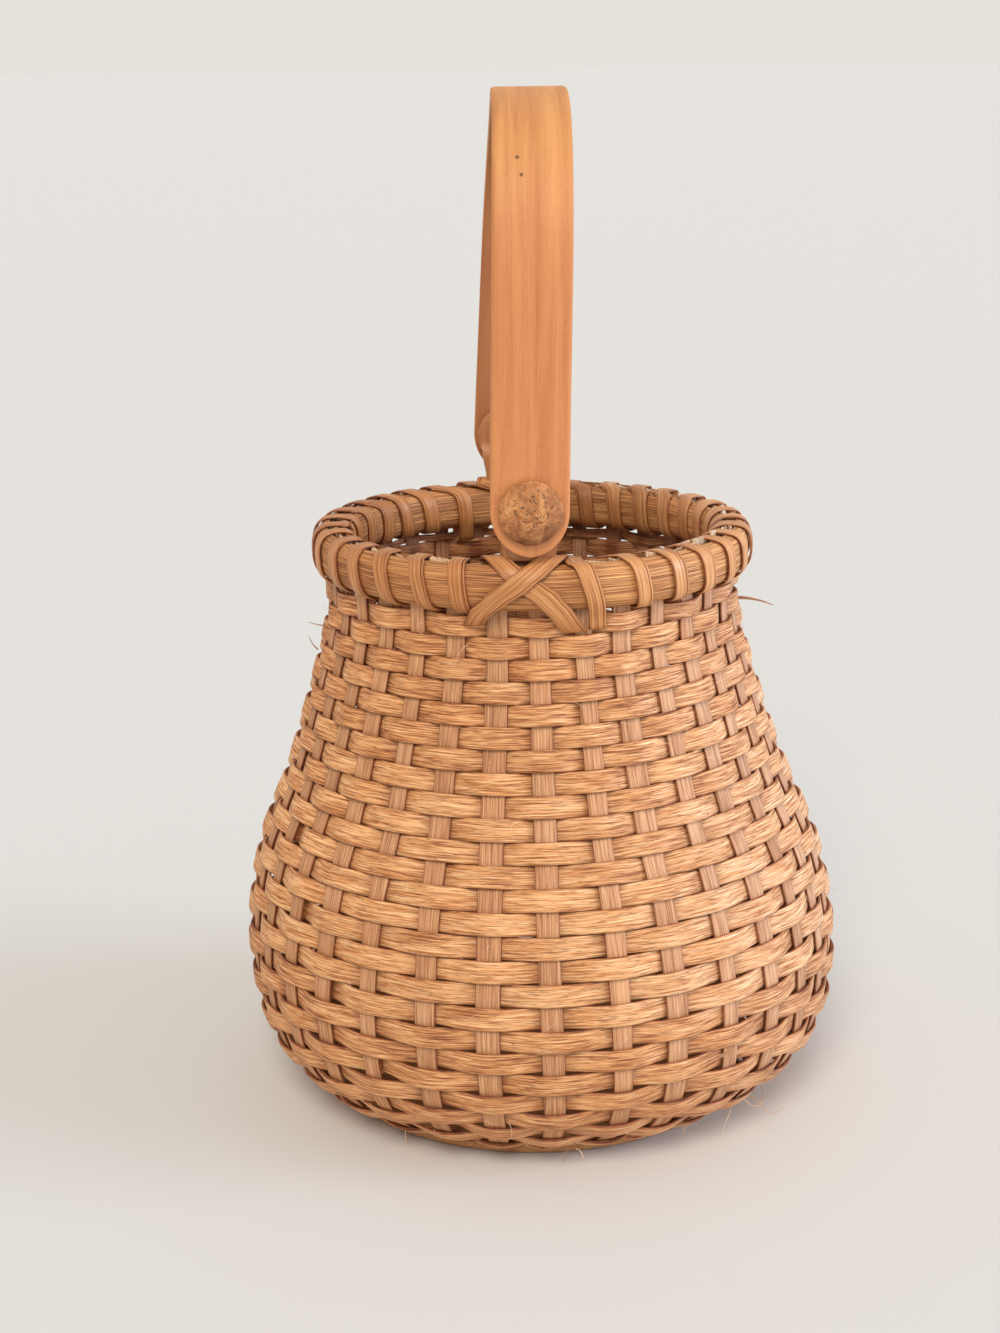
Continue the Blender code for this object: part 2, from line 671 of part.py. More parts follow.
def make_handle(material, collection, cutters):
    stops = handle_stops()
    places = [Vector((-HANDLE_OFFSET, along, height)) for along, height, _ in stops]
    across = Vector((1, 0, 0))
    sections = []
    for i, (place, (_, _, half)) in enumerate(zip(places, stops)):
        before, after = places[max(i - 1, 0)], places[min(i + 1, len(places) - 1)]
        out = (after - before).cross(across).normalized()
        edge = min(HANDLE_EDGE, half / 2)
        thick = HANDLE_THICKNESS / 2
        outline = (
            (-half, edge - thick), (edge - half, -thick), (half - edge, -thick), (half, edge - thick),
            (half, thick - edge), (half - edge, thick), (edge - half, thick), (-half, thick - edge),
        )
        sections.append([place + across * wide + out * deep for wide, deep in outline])
    handle = loft("handle", sections, material, collection, peg_origin())
    for side in (-1, 1):
        hole = (LEG_INNER - CUT_OVERRUN, LEG_INNER + HANDLE_THICKNESS + CUT_OVERRUN)
        bored(handle, PEG_RADIUS + HANDLE_PLAY, *hole, side, cutters)
    return handle


def main():
    clear_scene()
    parts = new_collection("Swing handled basket")
    cutters = new_collection("Cutters")
    wall = Wall()
    weave = Weave(wall)

    base_wood = wood("Base wood", (0.50, 0.29, 0.14), 0.55)
    stave_reed = wood("Stave reed", (0.46, 0.24, 0.11), 0.65)
    weaver_reed = wood("Weaver reed", (0.62, 0.36, 0.17), 0.6)
    hoop_reed = wood("Hoop reed", (0.52, 0.28, 0.11), 0.62)
    lashing_reed = wood("Lashing reed", (0.45, 0.22, 0.08), 0.55)
    peg_wood = wood("Peg wood", (0.40, 0.20, 0.09), 0.75)
    ear_wood = wood("Ear wood", (0.58, 0.31, 0.13), 0.5)
    handle_wood = wood("Handle wood", (0.66, 0.34, 0.14), 0.42)

    make_base(base_wood, parts)
    for stave in range(STAVE_COUNT):
        make_stave(stave, wall, stave_reed, parts)
    for number in range(WEAVER_LENGTHS):
        make_weaver(number, weave, weaver_reed, parts)
    outer = (OUTER_HOOP_FLAT, 1, OUTER_HOOP_THICKNESS, OUTER_SCARF_AZIMUTH)
    make_hoop("outer_hoop", *outer, hoop_reed, parts)
    inner = (INNER_HOOP_FLAT, -1, INNER_HOOP_THICKNESS, INNER_SCARF_AZIMUTH)
    make_hoop("inner_hoop", *inner, hoop_reed, parts)
    near_stops = lashing_stops(NEAR_EAR, -1, 2, 15, FAR_EAR, wall)
    far_stops = lashing_stops(FAR_EAR, 16, 19, 31, NEAR_EAR + 2 * math.pi, wall)
    make_lashing("rim_lashing_near", near_stops, lashing_reed, parts)
    make_lashing("rim_lashing_far", far_stops, lashing_reed, parts)
    make_ear("near_ear", NEAR_EAR, -1, ear_wood, parts, cutters)
    make_ear("far_ear", FAR_EAR, 1, ear_wood, parts, cutters)
    make_peg("near_peg", -1, peg_wood, parts)
    make_peg("far_peg", 1, peg_wood, parts)
    make_handle(handle_wood, parts, cutters)


main()
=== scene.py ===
"""The looks of the swing-handled basket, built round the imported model: reed strips with their grain,
the lashed rim, the bent handle on its pegs, loose fibres, floor, light and camera. Metres, +Z up."""

import math
import random

import bmesh
import bpy
import numpy as np
from mathutils import Matrix, Vector


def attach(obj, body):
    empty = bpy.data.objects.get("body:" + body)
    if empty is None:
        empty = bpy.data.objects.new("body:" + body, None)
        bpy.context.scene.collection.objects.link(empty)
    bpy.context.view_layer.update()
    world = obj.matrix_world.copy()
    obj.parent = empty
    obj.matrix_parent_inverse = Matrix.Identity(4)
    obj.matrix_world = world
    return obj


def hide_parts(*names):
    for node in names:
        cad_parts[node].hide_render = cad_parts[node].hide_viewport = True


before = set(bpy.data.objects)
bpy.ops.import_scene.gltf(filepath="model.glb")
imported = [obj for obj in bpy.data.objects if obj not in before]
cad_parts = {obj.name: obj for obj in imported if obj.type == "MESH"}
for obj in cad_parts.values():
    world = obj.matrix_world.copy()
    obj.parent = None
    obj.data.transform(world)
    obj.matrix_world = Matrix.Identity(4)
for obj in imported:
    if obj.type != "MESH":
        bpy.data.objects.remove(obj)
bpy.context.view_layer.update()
random.seed(11)
DICE = np.random.default_rng(7)
draw = DICE.uniform

# Sizes of the part's source
BASE_RADIUS, BASE_THICKNESS, BASE_CHAMFER = 0.0760, 0.0075, 0.0015
GROOVE_DEPTH, GROOVE_HEIGHT, GROOVE_CLEARANCE = 0.008, 0.0040, 0.0004
BELLY_RADIUS, BELLY_HEIGHT, NECK_RADIUS, NECK_HEIGHT = 0.1054, 0.063, 0.0709, 0.1919
LOWER_PROFILE_SHARES = (
    (0.0, 0.0), (0.13, 0.036), (0.37, 0.105), (0.59, 0.202), (0.795, 0.334), (0.922, 0.49),
    (0.985, 0.661), (1.0, 1.0),
)
UPPER_PROFILE_SHARES = ((0.832, 0.225), (0.487, 0.448), (0.212, 0.675), (0.02, 0.87), (0.0, 1.0))
STAVE_COUNT, STAVE_WIDTH, STAVE_THICKNESS, STAVE_TIP_DROP = 33, 0.0073, 0.0010, 0.0008
FIRST_STAVE_SHARE, BASE_WIDTH_SHARE, RIM_WIDTH_SHARE, RIM_EVEN_SHARE = -1.16, 0.86, 0.84, 0.6
STAVE_WIDTH_SHARES = np.array((
    1.15, 1.05, 0.95, 1.10, 0.92, 1.02, 0.88, 0.97, 1.08, 0.93, 1.04,
    0.90, 1.00, 1.07, 0.94, 1.02, 0.89, 1.01, 0.98, 1.09, 0.91, 1.03,
    0.96, 1.06, 0.90, 1.00, 0.95, 1.05, 0.93, 1.00, 1.08, 0.92, 1.04,
))
STAVE_SHIFT_SHARES = np.array((
    -0.02, 0.03, 0.22, 0.18, 0.28, 0.30, 0.24, 0.14, 0.04, -0.04, -0.03,
    0.03, 0.09, 0.05, -0.02, -0.09, -0.05, 0.02, 0.08, 0.11, 0.06, -0.01,
    -0.08, -0.04, 0.03, 0.07, 0.01, -0.08, -0.16, -0.24, -0.28, -0.24, -0.14,
))
WEAVER_LENGTHS, CROSSINGS_PER_LENGTH, LAST_CROSSING_STAVE = 9, 98, 24
WEAVER_WIDTH, WEAVER_TIP, FIRST_ROW_ARC, LAST_ROW_DROP = 0.0064, 0.0012, 0.0022, 0.0020
ROW_TIGHTENING_SHARE = 0.045
HOOP_HEIGHT, OUTER_HOOP_THICKNESS, INNER_HOOP_THICKNESS, HOOP_GAP = 0.0154, 0.0047, 0.0041, 0.00045
SCARF_LENGTH, OUTER_SCARF_AZIMUTH, INNER_SCARF_AZIMUTH = 0.050, 2.4, 4.1
EAR_TAIL_THICKNESS, EAR_BODY_THICKNESS, EAR_HEAD_THICKNESS = 0.0021, 0.0044, 0.0026
EAR_HEAD_RADIUS, EAR_STEM_WIDTH, EAR_TAIL_WIDTH = 0.0114, 0.0168, 0.0140
EAR_SHOULDER_DROP, EAR_SHOULDER_BEVEL, EAR_GAP = 0.0055, 0.0035, 0.0003
PEG_RADIUS, PEG_HEAD_RADIUS, PEG_HEAD_HEIGHT, PEG_RISE = 0.0047, 0.0104, 0.0054, 0.0184
PEG_INNER_LENGTH, PEG_FIT = 0.0016, 0.0003
HANDLE_WIDTH, HANDLE_THICKNESS, HANDLE_OFFSET, HANDLE_RISE = 0.0254, 0.0045, 0.0047, 0.1300
HANDLE_FOOT, ARCH_RISE, ARCH_POWER, HANDLE_PLAY = 0.0146, 0.0600, 2.6, 0.0005

RIM_TOP = NECK_HEIGHT + HOOP_HEIGHT
PEG_HEIGHT = RIM_TOP + PEG_RISE
OUTER_HOOP_FLAT = NECK_RADIUS + STAVE_THICKNESS / 2 + HOOP_GAP
EAR_OUTER = NECK_RADIUS - STAVE_THICKNESS / 2 - HOOP_GAP - EAR_STEM_WIDTH**2 / (8 * NECK_RADIUS)
EAR_INNER = EAR_OUTER - EAR_TAIL_THICKNESS
INNER_HOOP_FLAT = EAR_INNER - EAR_GAP
EAR_FACE = EAR_INNER + EAR_BODY_THICKNESS
EAR_TURN = math.asin(HANDLE_OFFSET / EAR_FACE)
LEG_INNER = (EAR_FACE + EAR_HEAD_RADIUS * math.sin(EAR_TURN)) / math.cos(EAR_TURN) + HANDLE_PLAY
LEG_MIDDLE = LEG_INNER + HANDLE_THICKNESS / 2
PEG_SHOULDER = LEG_INNER + HANDLE_THICKNESS + HANDLE_PLAY
PEG_INNER_END = EAR_FACE - EAR_HEAD_THICKNESS - PEG_INNER_LENGTH
CROSSINGS = WEAVER_LENGTHS * CROSSINGS_PER_LENGTH
STAVE_STEP = 2 * math.pi / STAVE_COUNT
NEAR_EAR, FAR_EAR = -EAR_TURN, math.pi + EAR_TURN
PEG_AXIS = Vector((-HANDLE_OFFSET, 0, PEG_HEIGHT))

# The wall's profile: how finely it is stepped and over how many steps its slope is evened
WALL_STEPS, SLOPE_SPAN = 1200, 33
# The lean of wall and handle to +X, and the twist between the handle's legs
WALL_LEAN, HANDLE_LEAN, HANDLE_TWIST = 0.0026, 0.0052, 0.0025
LEAN_HEIGHTS = (0.0, 0.004, 0.014, 0.030, 0.060, 0.100, 0.140, 0.190)
LEAN_SHARES = (0.0, 0.1, 0.8, 1.0, 0.75, 0.4, 0.12, 0.0)

# The strips as they look
REED_THICKNESS, REED_CLEARANCE, ROW_CLEARANCE, STAVE_SIDE_CLEARANCE = 0.00125, 0.00008, 0.00006, 0.0002
STAVE_STATIONS, STATIONS_PER_CROSSING, WIDEST_WEAVER, WEAVER_FILL = 110, 8, 0.0076, 1.015
# A splice in crossings: how far it laps, where it has sunk behind the strip before, how long that takes
SPLICE_REACH, SPLICE_SUNK, SPLICE_RUN, SPLICE_GAP = 0.15, 0.9, 0.7, 0.0001
# Painted shade where a weaver dips behind a stave, to a power of how deep; the staves' even darker tone and
# its random change
TUCK_SHADE, TUCK_POWER, STAVE_SHADE, STAVE_SHADE_CHANGE = 0.75, 7, 0.08, 0.12
HOOP_STATIONS, HOOP_CORNERS, HOOP_FILL, HOOP_EDGE, HOOP_TIP = 400, 17, 0.985, 0.0002, 0.00012
LASHING_WIDTH, LASHING_THICKNESS, LASHING_GAP, LASHING_STEP = 0.0060, 0.0009, 0.00016, 0.0005
LASHING_SPAN, LASHING_LEAN, LEAST_LEAN = 9, 0.0048 / NECK_RADIUS, 0.55
OVER_HANG, UNDER_HANG, WRAP_HANG, CROSS_RISE, LAST_WRAP_STEP = 0.0040, 0.0066, 0.0050, 0.0018, 0.035
CROSS_LIFT, FOOT_LIFT, PASSING_LIFT, WRAP_LIFT = 0.0011, 0.0002, 0.0010, 0.0003
# Quarter turns round the rim and azimuths off the ear of the two strands that cross there
OVER_STRAND = (
    (-1.25, 0.140), (-0.95, 0.105), (-0.69, 0.058), (-0.4, 0.011), (-0.23, -0.023), (-0.08, -0.057),
    (0.0, -0.092), (0.08, -0.127), (0.23, -0.164), (0.4, -0.210), (0.69, -0.250), (0.86, -0.262),
)
UNDER_STRAND = (
    (-1.25, -0.205), (-0.95, -0.160), (-0.69, -0.112), (-0.4, -0.067), (-0.23, -0.037), (-0.08, -0.005),
    (0.0, 0.027), (0.08, 0.060), (0.23, 0.093), (0.4, 0.136), (0.69, 0.188), (0.86, 0.204),
)
RIM_POWER = 3.0


def smooth_curve(points, steps=24):
    points = np.array(points, float)
    ends = np.vstack([2 * points[0] - points[1], points, 2 * points[-1] - points[-2]])
    t = (np.arange(steps) / steps)[:, None]
    runs = [
        b + t * (c - a) / 2 + t**2 * (a - 2.5 * b + 2 * c - d / 2) + t**3 * (3 * b - 3 * c + d - a) / 2
        for a, b, c, d in zip(ends, ends[1:], ends[2:], ends[3:])
    ]
    return np.vstack([*runs, points[-1]])


def unit(vectors):
    return vectors / np.maximum(np.linalg.norm(vectors, axis=-1, keepdims=True), 1e-12)


def at_azimuth(azimuth, reach, height):
    """A point or a way from its reach off the basket's axis and its height; azimuth 0 is -Y."""
    return np.stack([reach * np.sin(azimuth), -reach * np.cos(azimuth), height], -1)


def smoothstep(x):
    x = np.clip(x, 0, 1)
    return x * x * (3 - 2 * x)


def wander(places, spacing, size, seed):
    """A smooth random value along a length: one draw at each spacing."""
    dice = np.random.default_rng(seed)
    knots = np.arange(places.min() - spacing, places.max() + 2 * spacing, spacing)
    values = dice.uniform(-size, size, len(knots))
    k = (places - knots[0]) / spacing
    i = k.astype(int)
    return values[i] + (values[i + 1] - values[i]) * smoothstep(k - i)


def lengths_along(points):
    """The length of a path from its start to each of its points."""
    return np.concatenate([[0], np.cumsum(np.linalg.norm(np.diff(points, axis=0), axis=1))])


class Wall:
    """The middle surface of the staves, by the arc: the length up it from the base's edge."""

    def __init__(self):
        stops = [
            (radius + s * (BELLY_RADIUS - radius), bottom + r * (top - bottom))
            for shares, radius, bottom, top in (
                (LOWER_PROFILE_SHARES, BASE_RADIUS, GROOVE_HEIGHT, BELLY_HEIGHT),
                (UPPER_PROFILE_SHARES, NECK_RADIUS, BELLY_HEIGHT, NECK_HEIGHT),
            ) for s, r in shares
        ]
        points = np.vstack([
            (BASE_RADIUS - GROOVE_DEPTH, GROOVE_HEIGHT), smooth_curve(stops),
            (NECK_RADIUS, RIM_TOP - STAVE_TIP_DROP),
        ])
        arcs = lengths_along(points) - GROOVE_DEPTH
        self.tip, self.neck = arcs[-1], arcs[-2]
        self.arcs = np.linspace(arcs[0], arcs[-1], WALL_STEPS)
        self.points = np.stack([np.interp(self.arcs, arcs, points[:, i]) for i in (0, 1)], 1)
        slopes = np.gradient(self.points, self.arcs, axis=0)
        kernel = np.hanning(SLOPE_SPAN)
        padded = np.pad(slopes, ((SLOPE_SPAN // 2, SLOPE_SPAN // 2), (0, 0)), mode="edge")
        evened = [np.convolve(padded[:, i], kernel / kernel.sum(), "valid") for i in (0, 1)]
        self.slopes = unit(np.stack(evened, 1))

    def frame(self, arc, azimuth):
        """Middle, way up, way out and radius at an arc and azimuth."""
        radius, height, along, rise = (
            np.interp(arc, self.arcs, column)
            for column in (*self.points.T, *self.slopes.T)
        )
        middle = at_azimuth(azimuth, radius, height)
        middle[..., 0] += WALL_LEAN * np.interp(height, LEAN_HEIGHTS, LEAN_SHARES)
        up, out = unit(at_azimuth(azimuth, along, rise)), unit(at_azimuth(azimuth, rise, -along))
        return middle, up, out, radius


WALL = Wall()


def stave_azimuth(stave, arc):
    evened = 1 - RIM_EVEN_SHARE * np.clip(arc / WALL.neck, 0, 1)
    return STAVE_STEP * (FIRST_STAVE_SHARE + stave + STAVE_SHIFT_SHARES[stave % STAVE_COUNT] * evened)


def stave_width(stave, arc):
    share = np.clip(arc / WALL.neck, 0, 1)
    taper = BASE_WIDTH_SHARE + share * (RIM_WIDTH_SHARE - BASE_WIDTH_SHARE)
    belly = np.sin(math.pi * share)
    return STAVE_WIDTH * STAVE_WIDTH_SHARES[stave % STAVE_COUNT] * (taper + belly * (1 - taper))


# Materials
class Nodes:
    """Short calls for building the nodes of a material or world."""

    def __init__(self, owner):
        owner.use_nodes = True
        self.owner, self.tree = owner, owner.node_tree
        self.shader = self.tree.nodes.get("Principled BSDF")

    def add(self, kind, settings=(), **inputs):
        """A node with its settings, and its inputs by name, or by number as i0, i1 and so on."""
        node = self.tree.nodes.new(kind)
        for key, value in dict(settings).items():
            setattr(node, key, value)
        for key, value in inputs.items():
            self.put(node.inputs[int(key[1:]) if key[1:].isdigit() else key], value)
        return node

    def put(self, socket, value):
        if isinstance(value, bpy.types.NodeSocket):
            self.tree.links.new(value, socket)
        else:
            socket.default_value = value

    def math(self, operation, a, b=0.0, clamp=False):
        node = self.add("ShaderNodeMath", {"operation": operation, "use_clamp": clamp}, i0=a, i1=b)
        return node.outputs[0]

    def plus(self, a, b, clamp=False):
        return self.math("ADD", a, b, clamp)

    def times(self, a, b):
        return self.math("MULTIPLY", a, b)

    def centred(self, noise, weight):
        return self.times(self.math("SUBTRACT", noise, 0.5), weight)

    def vector_math(self, operation, a, b):
        return self.add("ShaderNodeVectorMath", {"operation": operation}, i0=a, i1=b).outputs

    def attribute(self, name):
        return self.add("ShaderNodeAttribute", {"attribute_name": name}).outputs["Fac"]

    def place(self):
        return self.add("ShaderNodeTexCoord").outputs["Object"]

    def split(self, vector):
        return self.add("ShaderNodeSeparateXYZ", i0=vector).outputs

    def noise(self, vector, detail=3.0, roughness=0.55, scale=1.0, distortion=0.0):
        node = self.add("ShaderNodeTexNoise", Vector=vector, Scale=scale, Detail=detail,
                        Roughness=roughness, Distortion=distortion)
        return node.outputs["Fac"]

    def span(self, value, low, high, to_low=0.0, to_high=1.0):
        """A value between two limits, clamped, as one between two others."""
        node = self.add("ShaderNodeMapRange", {"clamp": True}, i0=value, i1=low, i2=high, i3=to_low,
                        i4=to_high)
        return node.outputs[0]

    def middle_line(self, noise, full, none):
        """1 where a noise is at its middle, 0 where it is far from it: lines of even width."""
        return self.span(self.math("ABSOLUTE", self.math("SUBTRACT", noise, 0.5)), full, none, 1.0, 0.0)

    def blend(self, factor, a, b, mode="MIX"):
        node = self.add("ShaderNodeMix", {"data_type": "RGBA", "blend_type": mode})
        self.put(node.inputs[0], factor)
        self.put(node.inputs[6], a)
        self.put(node.inputs[7], b)
        return node.outputs[2]

    def tint(self, base, factor, tone):
        """The base multiplied by a tone, as far as the factor says."""
        return self.blend(factor, base, self.blend(1.0, base, (*tone, 1), "MULTIPLY"))

    def ramp(self, tone, places, colours):
        """The colour at a tone, from three places and their colours."""
        node = self.add("ShaderNodeValToRGB", Fac=tone)
        stops = node.color_ramp.elements
        stops.new(places[1])
        for stop, place, shown in zip(stops, places, colours):
            stop.position, stop.color = place, colour(*shown)
        return node.outputs[0]

    def bump(self, height, distance):
        node = self.add("ShaderNodeBump", Height=height, Distance=distance)
        self.put(self.shader.inputs["Normal"], node.outputs[0])

    def finish(self, base, roughness):
        self.put(self.shader.inputs["Base Color"], base)
        self.put(self.shader.inputs["Roughness"], roughness)
        return self.owner


def colour(red, green, blue):
    """A linear colour from the 0 to 255 numbers that a screen shows."""
    shown = [c / 255 for c in (red, green, blue)]
    return (*[c / 12.92 if c < 0.04045 else ((c + 0.055) / 1.055) ** 2.4 for c in shown], 1.0)


def grain_vectors(n, seed):
    """Across and along a strip in metres, from its UV map, each times its scale."""
    uv = n.split(n.add("ShaderNodeUVMap", {"uv_map": "grain"}).outputs[0])
    return lambda across, along, shift: n.add(
        "ShaderNodeCombineXYZ", i0=n.times(uv[0], across), i1=n.times(uv[1], along),
        i2=n.math("MULTIPLY_ADD", seed, shift)).outputs[0]


# Painted window light: the reed is painted paler and pinker on the side towards the window: where along X
# that starts and is full, at the height at which the height factor times it plus the foot factor makes 1
WINDOW_LIT_SIDE, WINDOW_LIGHT_TINT, WINDOW_LIT_HEIGHT, WINDOW_LIT_FOOT = (0.012, 0.095), (1.08, 1.18, 1.43), 4.0, 0.65
# What the shade attribute darkens towards: painted shade, and a tone that changes at random or is darker on
# some fibres
WARM_TONE, PAINTED_SHADE_AND_TONE, REED_RELIEF = (1.0, 0.84, 0.70), (0.34, 0.17, 0.09), 0.00010


def reed(name, dark, middle, light, roughness, scale, lines, length, sway):
    """Split reed: wavy lengthwise fibres, thin dark lines, broad tone bands, darker by painted shade where it
    is tucked in.
    """
    n = Nodes(bpy.data.materials.new(name))
    seed, shade = n.attribute("seed"), n.attribute("shade")
    at = grain_vectors(n, seed)
    wave = n.centred(n.noise(at(150, 75, 13.0), 1.0), sway)
    slide = n.add("ShaderNodeCombineXYZ", i0=wave).outputs[0]

    def fibres(across, along, shift, detail, roughness):
        place = n.vector_math("ADD", at(across * scale, along / length, shift), slide)[0]
        return n.noise(place, detail, roughness)

    fine = fibres(1900, 85, 37.0, 3.0, 0.65)
    ridge = fibres(1050, 48, 17.0, 2.0, 0.6)
    hair = fibres(4200, 120, 29.0, 2.0, 0.6)
    patch = n.noise(at(130, 45, 11.0), 2.0, 0.5)
    line = n.middle_line(ridge, 0.0, 0.04)
    tone = n.plus(n.times(n.span(fine, 0.35, 0.65), 0.66), n.times(ridge, 0.28))
    tone = n.plus(tone, n.centred(hair, 0.45))
    tone = n.plus(tone, n.centred(patch, 0.45))
    tone = n.plus(tone, n.centred(seed, 0.16), True)
    base = n.ramp(tone, (0.10, 0.46, 0.86), (dark, middle, light))
    base = n.blend(n.times(line, lines), base, colour(*dark))
    base = n.tint(base, n.span(n.noise(at(40, 22, 91.0), 1.0), 0.4, 0.7, 0.0, 0.35), WARM_TONE)
    # Painted window light, paler and pinker towards +X
    place = n.split(n.place())
    side = n.times(place[0], n.plus(n.times(place[2], WINDOW_LIT_HEIGHT), WINDOW_LIT_FOOT))
    base = n.tint(base, n.span(side, *WINDOW_LIT_SIDE), WINDOW_LIGHT_TINT)
    # Painted shade, with the random and darker tone, as the shade attribute says
    base = n.tint(base, n.span(shade, 0.0, 1.0, 0.0, 0.9), PAINTED_SHADE_AND_TONE)
    height = n.plus(n.times(fine, 0.7), n.times(hair, 0.35))
    n.bump(n.math("SUBTRACT", height, n.times(line, 0.6)), REED_RELIEF)
    return n.finish(base, n.span(fine, 0.3, 0.7, roughness + 0.08, roughness - 0.10))


# Painted light: the top of the handle is painted paler, as light falls on it: where that starts and is full
LIT_TOP_HEIGHTS, PAINTED_TOP_LIGHT = (0.314, 0.340), (1.09, 1.25, 1.18)
WOOD_SHIFT, WOOD_SHADE, WOOD_RELIEF, SPECK_COLOUR = 5.0, (0.36, 0.32, 0.29), 0.00003, (0.06, 0.025, 0.012, 1)


def plank(name, dark, middle, light, roughness, across, specks):
    """Smooth bent wood: soft bands that run along it, a satin face, and dark specks at the places given."""
    n = Nodes(bpy.data.materials.new(name))
    seed, shade = n.attribute("seed"), n.attribute("shade")
    at = grain_vectors(n, seed)
    bands = n.noise(at(across, 9, WOOD_SHIFT), 3.0, 0.55, 1.0, 0.6)
    fine = n.noise(at(across * 9, 45, WOOD_SHIFT), 2.0, 0.6)
    pores = n.noise(at(across * 15, 126, WOOD_SHIFT), 1.0)
    patch = n.noise(at(60, 22, WOOD_SHIFT), 2.0)
    mottle = n.noise(at(1500, 1500, WOOD_SHIFT), 2.0, 0.6)
    tone = n.plus(n.times(n.span(bands, 0.25, 0.75), 0.5), n.times(fine, 0.28))
    tone = n.plus(n.plus(tone, n.centred(mottle, 0.35)), n.times(patch, 0.35), True)
    base = n.ramp(tone, (0.25, 0.55, 0.88), (dark, middle, light))
    base = n.blend(n.span(pores, 0.68, 0.76, 0.0, 0.45), base, colour(*dark))
    # Painted shade on the handle's inner face, and an even darker tone on ears and base, as the shade
    # attribute says
    base = n.tint(base, n.span(shade, 0.0, 1.0, 0.0, 0.8), WOOD_SHADE)
    place = n.place()
    # Painted light, paler at the handle's top
    base = n.tint(base, n.span(n.split(place)[2], *LIT_TOP_HEIGHTS), PAINTED_TOP_LIGHT)
    for spot, size in specks:
        away = n.vector_math("DISTANCE", place, spot)["Value"]
        away = n.plus(away, n.times(n.noise(place, 2.0, 0.6, 2500.0), size))
        base = n.blend(n.span(away, size, size * 1.7, 0.85, 0.0), base, SPECK_COLOUR)
    n.bump(n.plus(fine, n.times(pores, -0.4)), WOOD_RELIEF)
    return n.finish(base, n.span(fine, 0.3, 0.7, roughness + 0.05, roughness - 0.05))


# The torn part of a peg's end: its middle off the peg's axis, and the radii at which it fades and ends
TORN_OFFSET, TORN_RADII, CRACK_COLOUR = 0.0010, (0.0060, 0.0088), (0.15, 0.055, 0.018, 1)
PEG_SHADE, PEG_ROUGHNESS, PEG_RELIEF = (0.36, 0.24, 0.17), 0.85, 0.00022


def end_grain(name, dark, middle, light):
    """The rough end of a whittled peg: mottled, with short torn cracks that have a pale lip."""
    n = Nodes(bpy.data.materials.new(name))
    shade, place = n.attribute("shade"), n.place()
    coarse, fine = n.noise(place, 3.0, 0.6, 300.0), n.noise(place, 3.0, 0.7, 1500.0)
    tear = n.noise(place, 2.0, 0.5, 310.0, 1.8)
    torn_middle = (PEG_AXIS.x + TORN_OFFSET, 0, PEG_HEIGHT + TORN_OFFSET)
    off = n.vector_math("DISTANCE", n.vector_math("MULTIPLY", place, (1, 0, 1))[0], torn_middle)["Value"]
    where = n.span(n.noise(place, 1.0, 0.5, 560.0), 0.51, 0.57)
    where = n.times(where, n.span(off, *TORN_RADII, 1.0, 0.0))
    crack = n.times(n.middle_line(tear, 0.03, 0.09), where)
    lip = n.times(n.middle_line(tear, 0.10, 0.14), where)
    tone = n.plus(n.times(coarse, 0.6), n.times(fine, 0.4))
    base = n.ramp(tone, (0.34, 0.5, 0.68), (dark, middle, light))
    base = n.blend(n.times(lip, 0.4), base, colour(*light))
    base = n.blend(n.times(crack, 0.85), base, CRACK_COLOUR)
    # Painted light and shade on the head, as the shade attribute says
    base = n.tint(base, n.span(shade, 0.0, 1.0), PEG_SHADE)
    n.bump(n.math("SUBTRACT", tone, crack), PEG_RELIEF)
    return n.finish(base, PEG_ROUGHNESS)


HANDLE_SPECKS = (((-0.0070, -0.0650, 0.3356), 0.0008), ((-0.0059, -0.0690, 0.3305), 0.0007))
# Kind, dark, middle and light colour; then, for reed, roughness, fineness, depth of the dark lines, length
# and sway of the fibres, and for plank, roughness, bands per metre across and specks
LOOKS = {
    "weaver_reed": (reed, (130, 68, 32), (221, 153, 94), (249, 201, 148), 0.62, 1.2, 0.7, 1.0, 1.2),
    "stave_reed": (reed, (158, 104, 66), (206, 148, 103), (230, 180, 132), 0.68, 1.3, 0.35, 1.8, 0.35),
    "hoop_reed": (reed, (112, 59, 26), (211, 142, 81), (250, 196, 126), 0.6, 2.0, 0.6, 2.4, 0.5),
    "lashing_reed": (reed, (168, 105, 55), (209, 142, 83), (234, 176, 114), 0.46, 0.9, 0.10, 3.0, 0.3),
    "pale_reed": (reed, (176, 130, 88), (228, 190, 148), (248, 224, 190), 0.5, 1.0, 0.3, 1.0, 1.2),
    "handle_wood": (plank, (182, 108, 60), (203, 130, 77), (220, 147, 90), 0.62, 260, HANDLE_SPECKS),
    "ear_wood": (plank, (150, 92, 50), (188, 122, 72), (208, 146, 94), 0.5, 260, ()),
    "base_wood": (plank, (150, 96, 54), (192, 134, 82), (212, 156, 102), 0.5, 90, ()),
    "peg_wood": (end_grain, (140, 84, 47), (188, 124, 74), (228, 166, 110)),
}
MATERIALS = {name: kind(name, *look) for name, (kind, *look) in LOOKS.items()}
SHARP_ANGLE = 0.75


# Meshes
def new_object(name, data):
    obj = bpy.data.objects.new(name, data)
    bpy.context.scene.collection.objects.link(obj)
    return obj


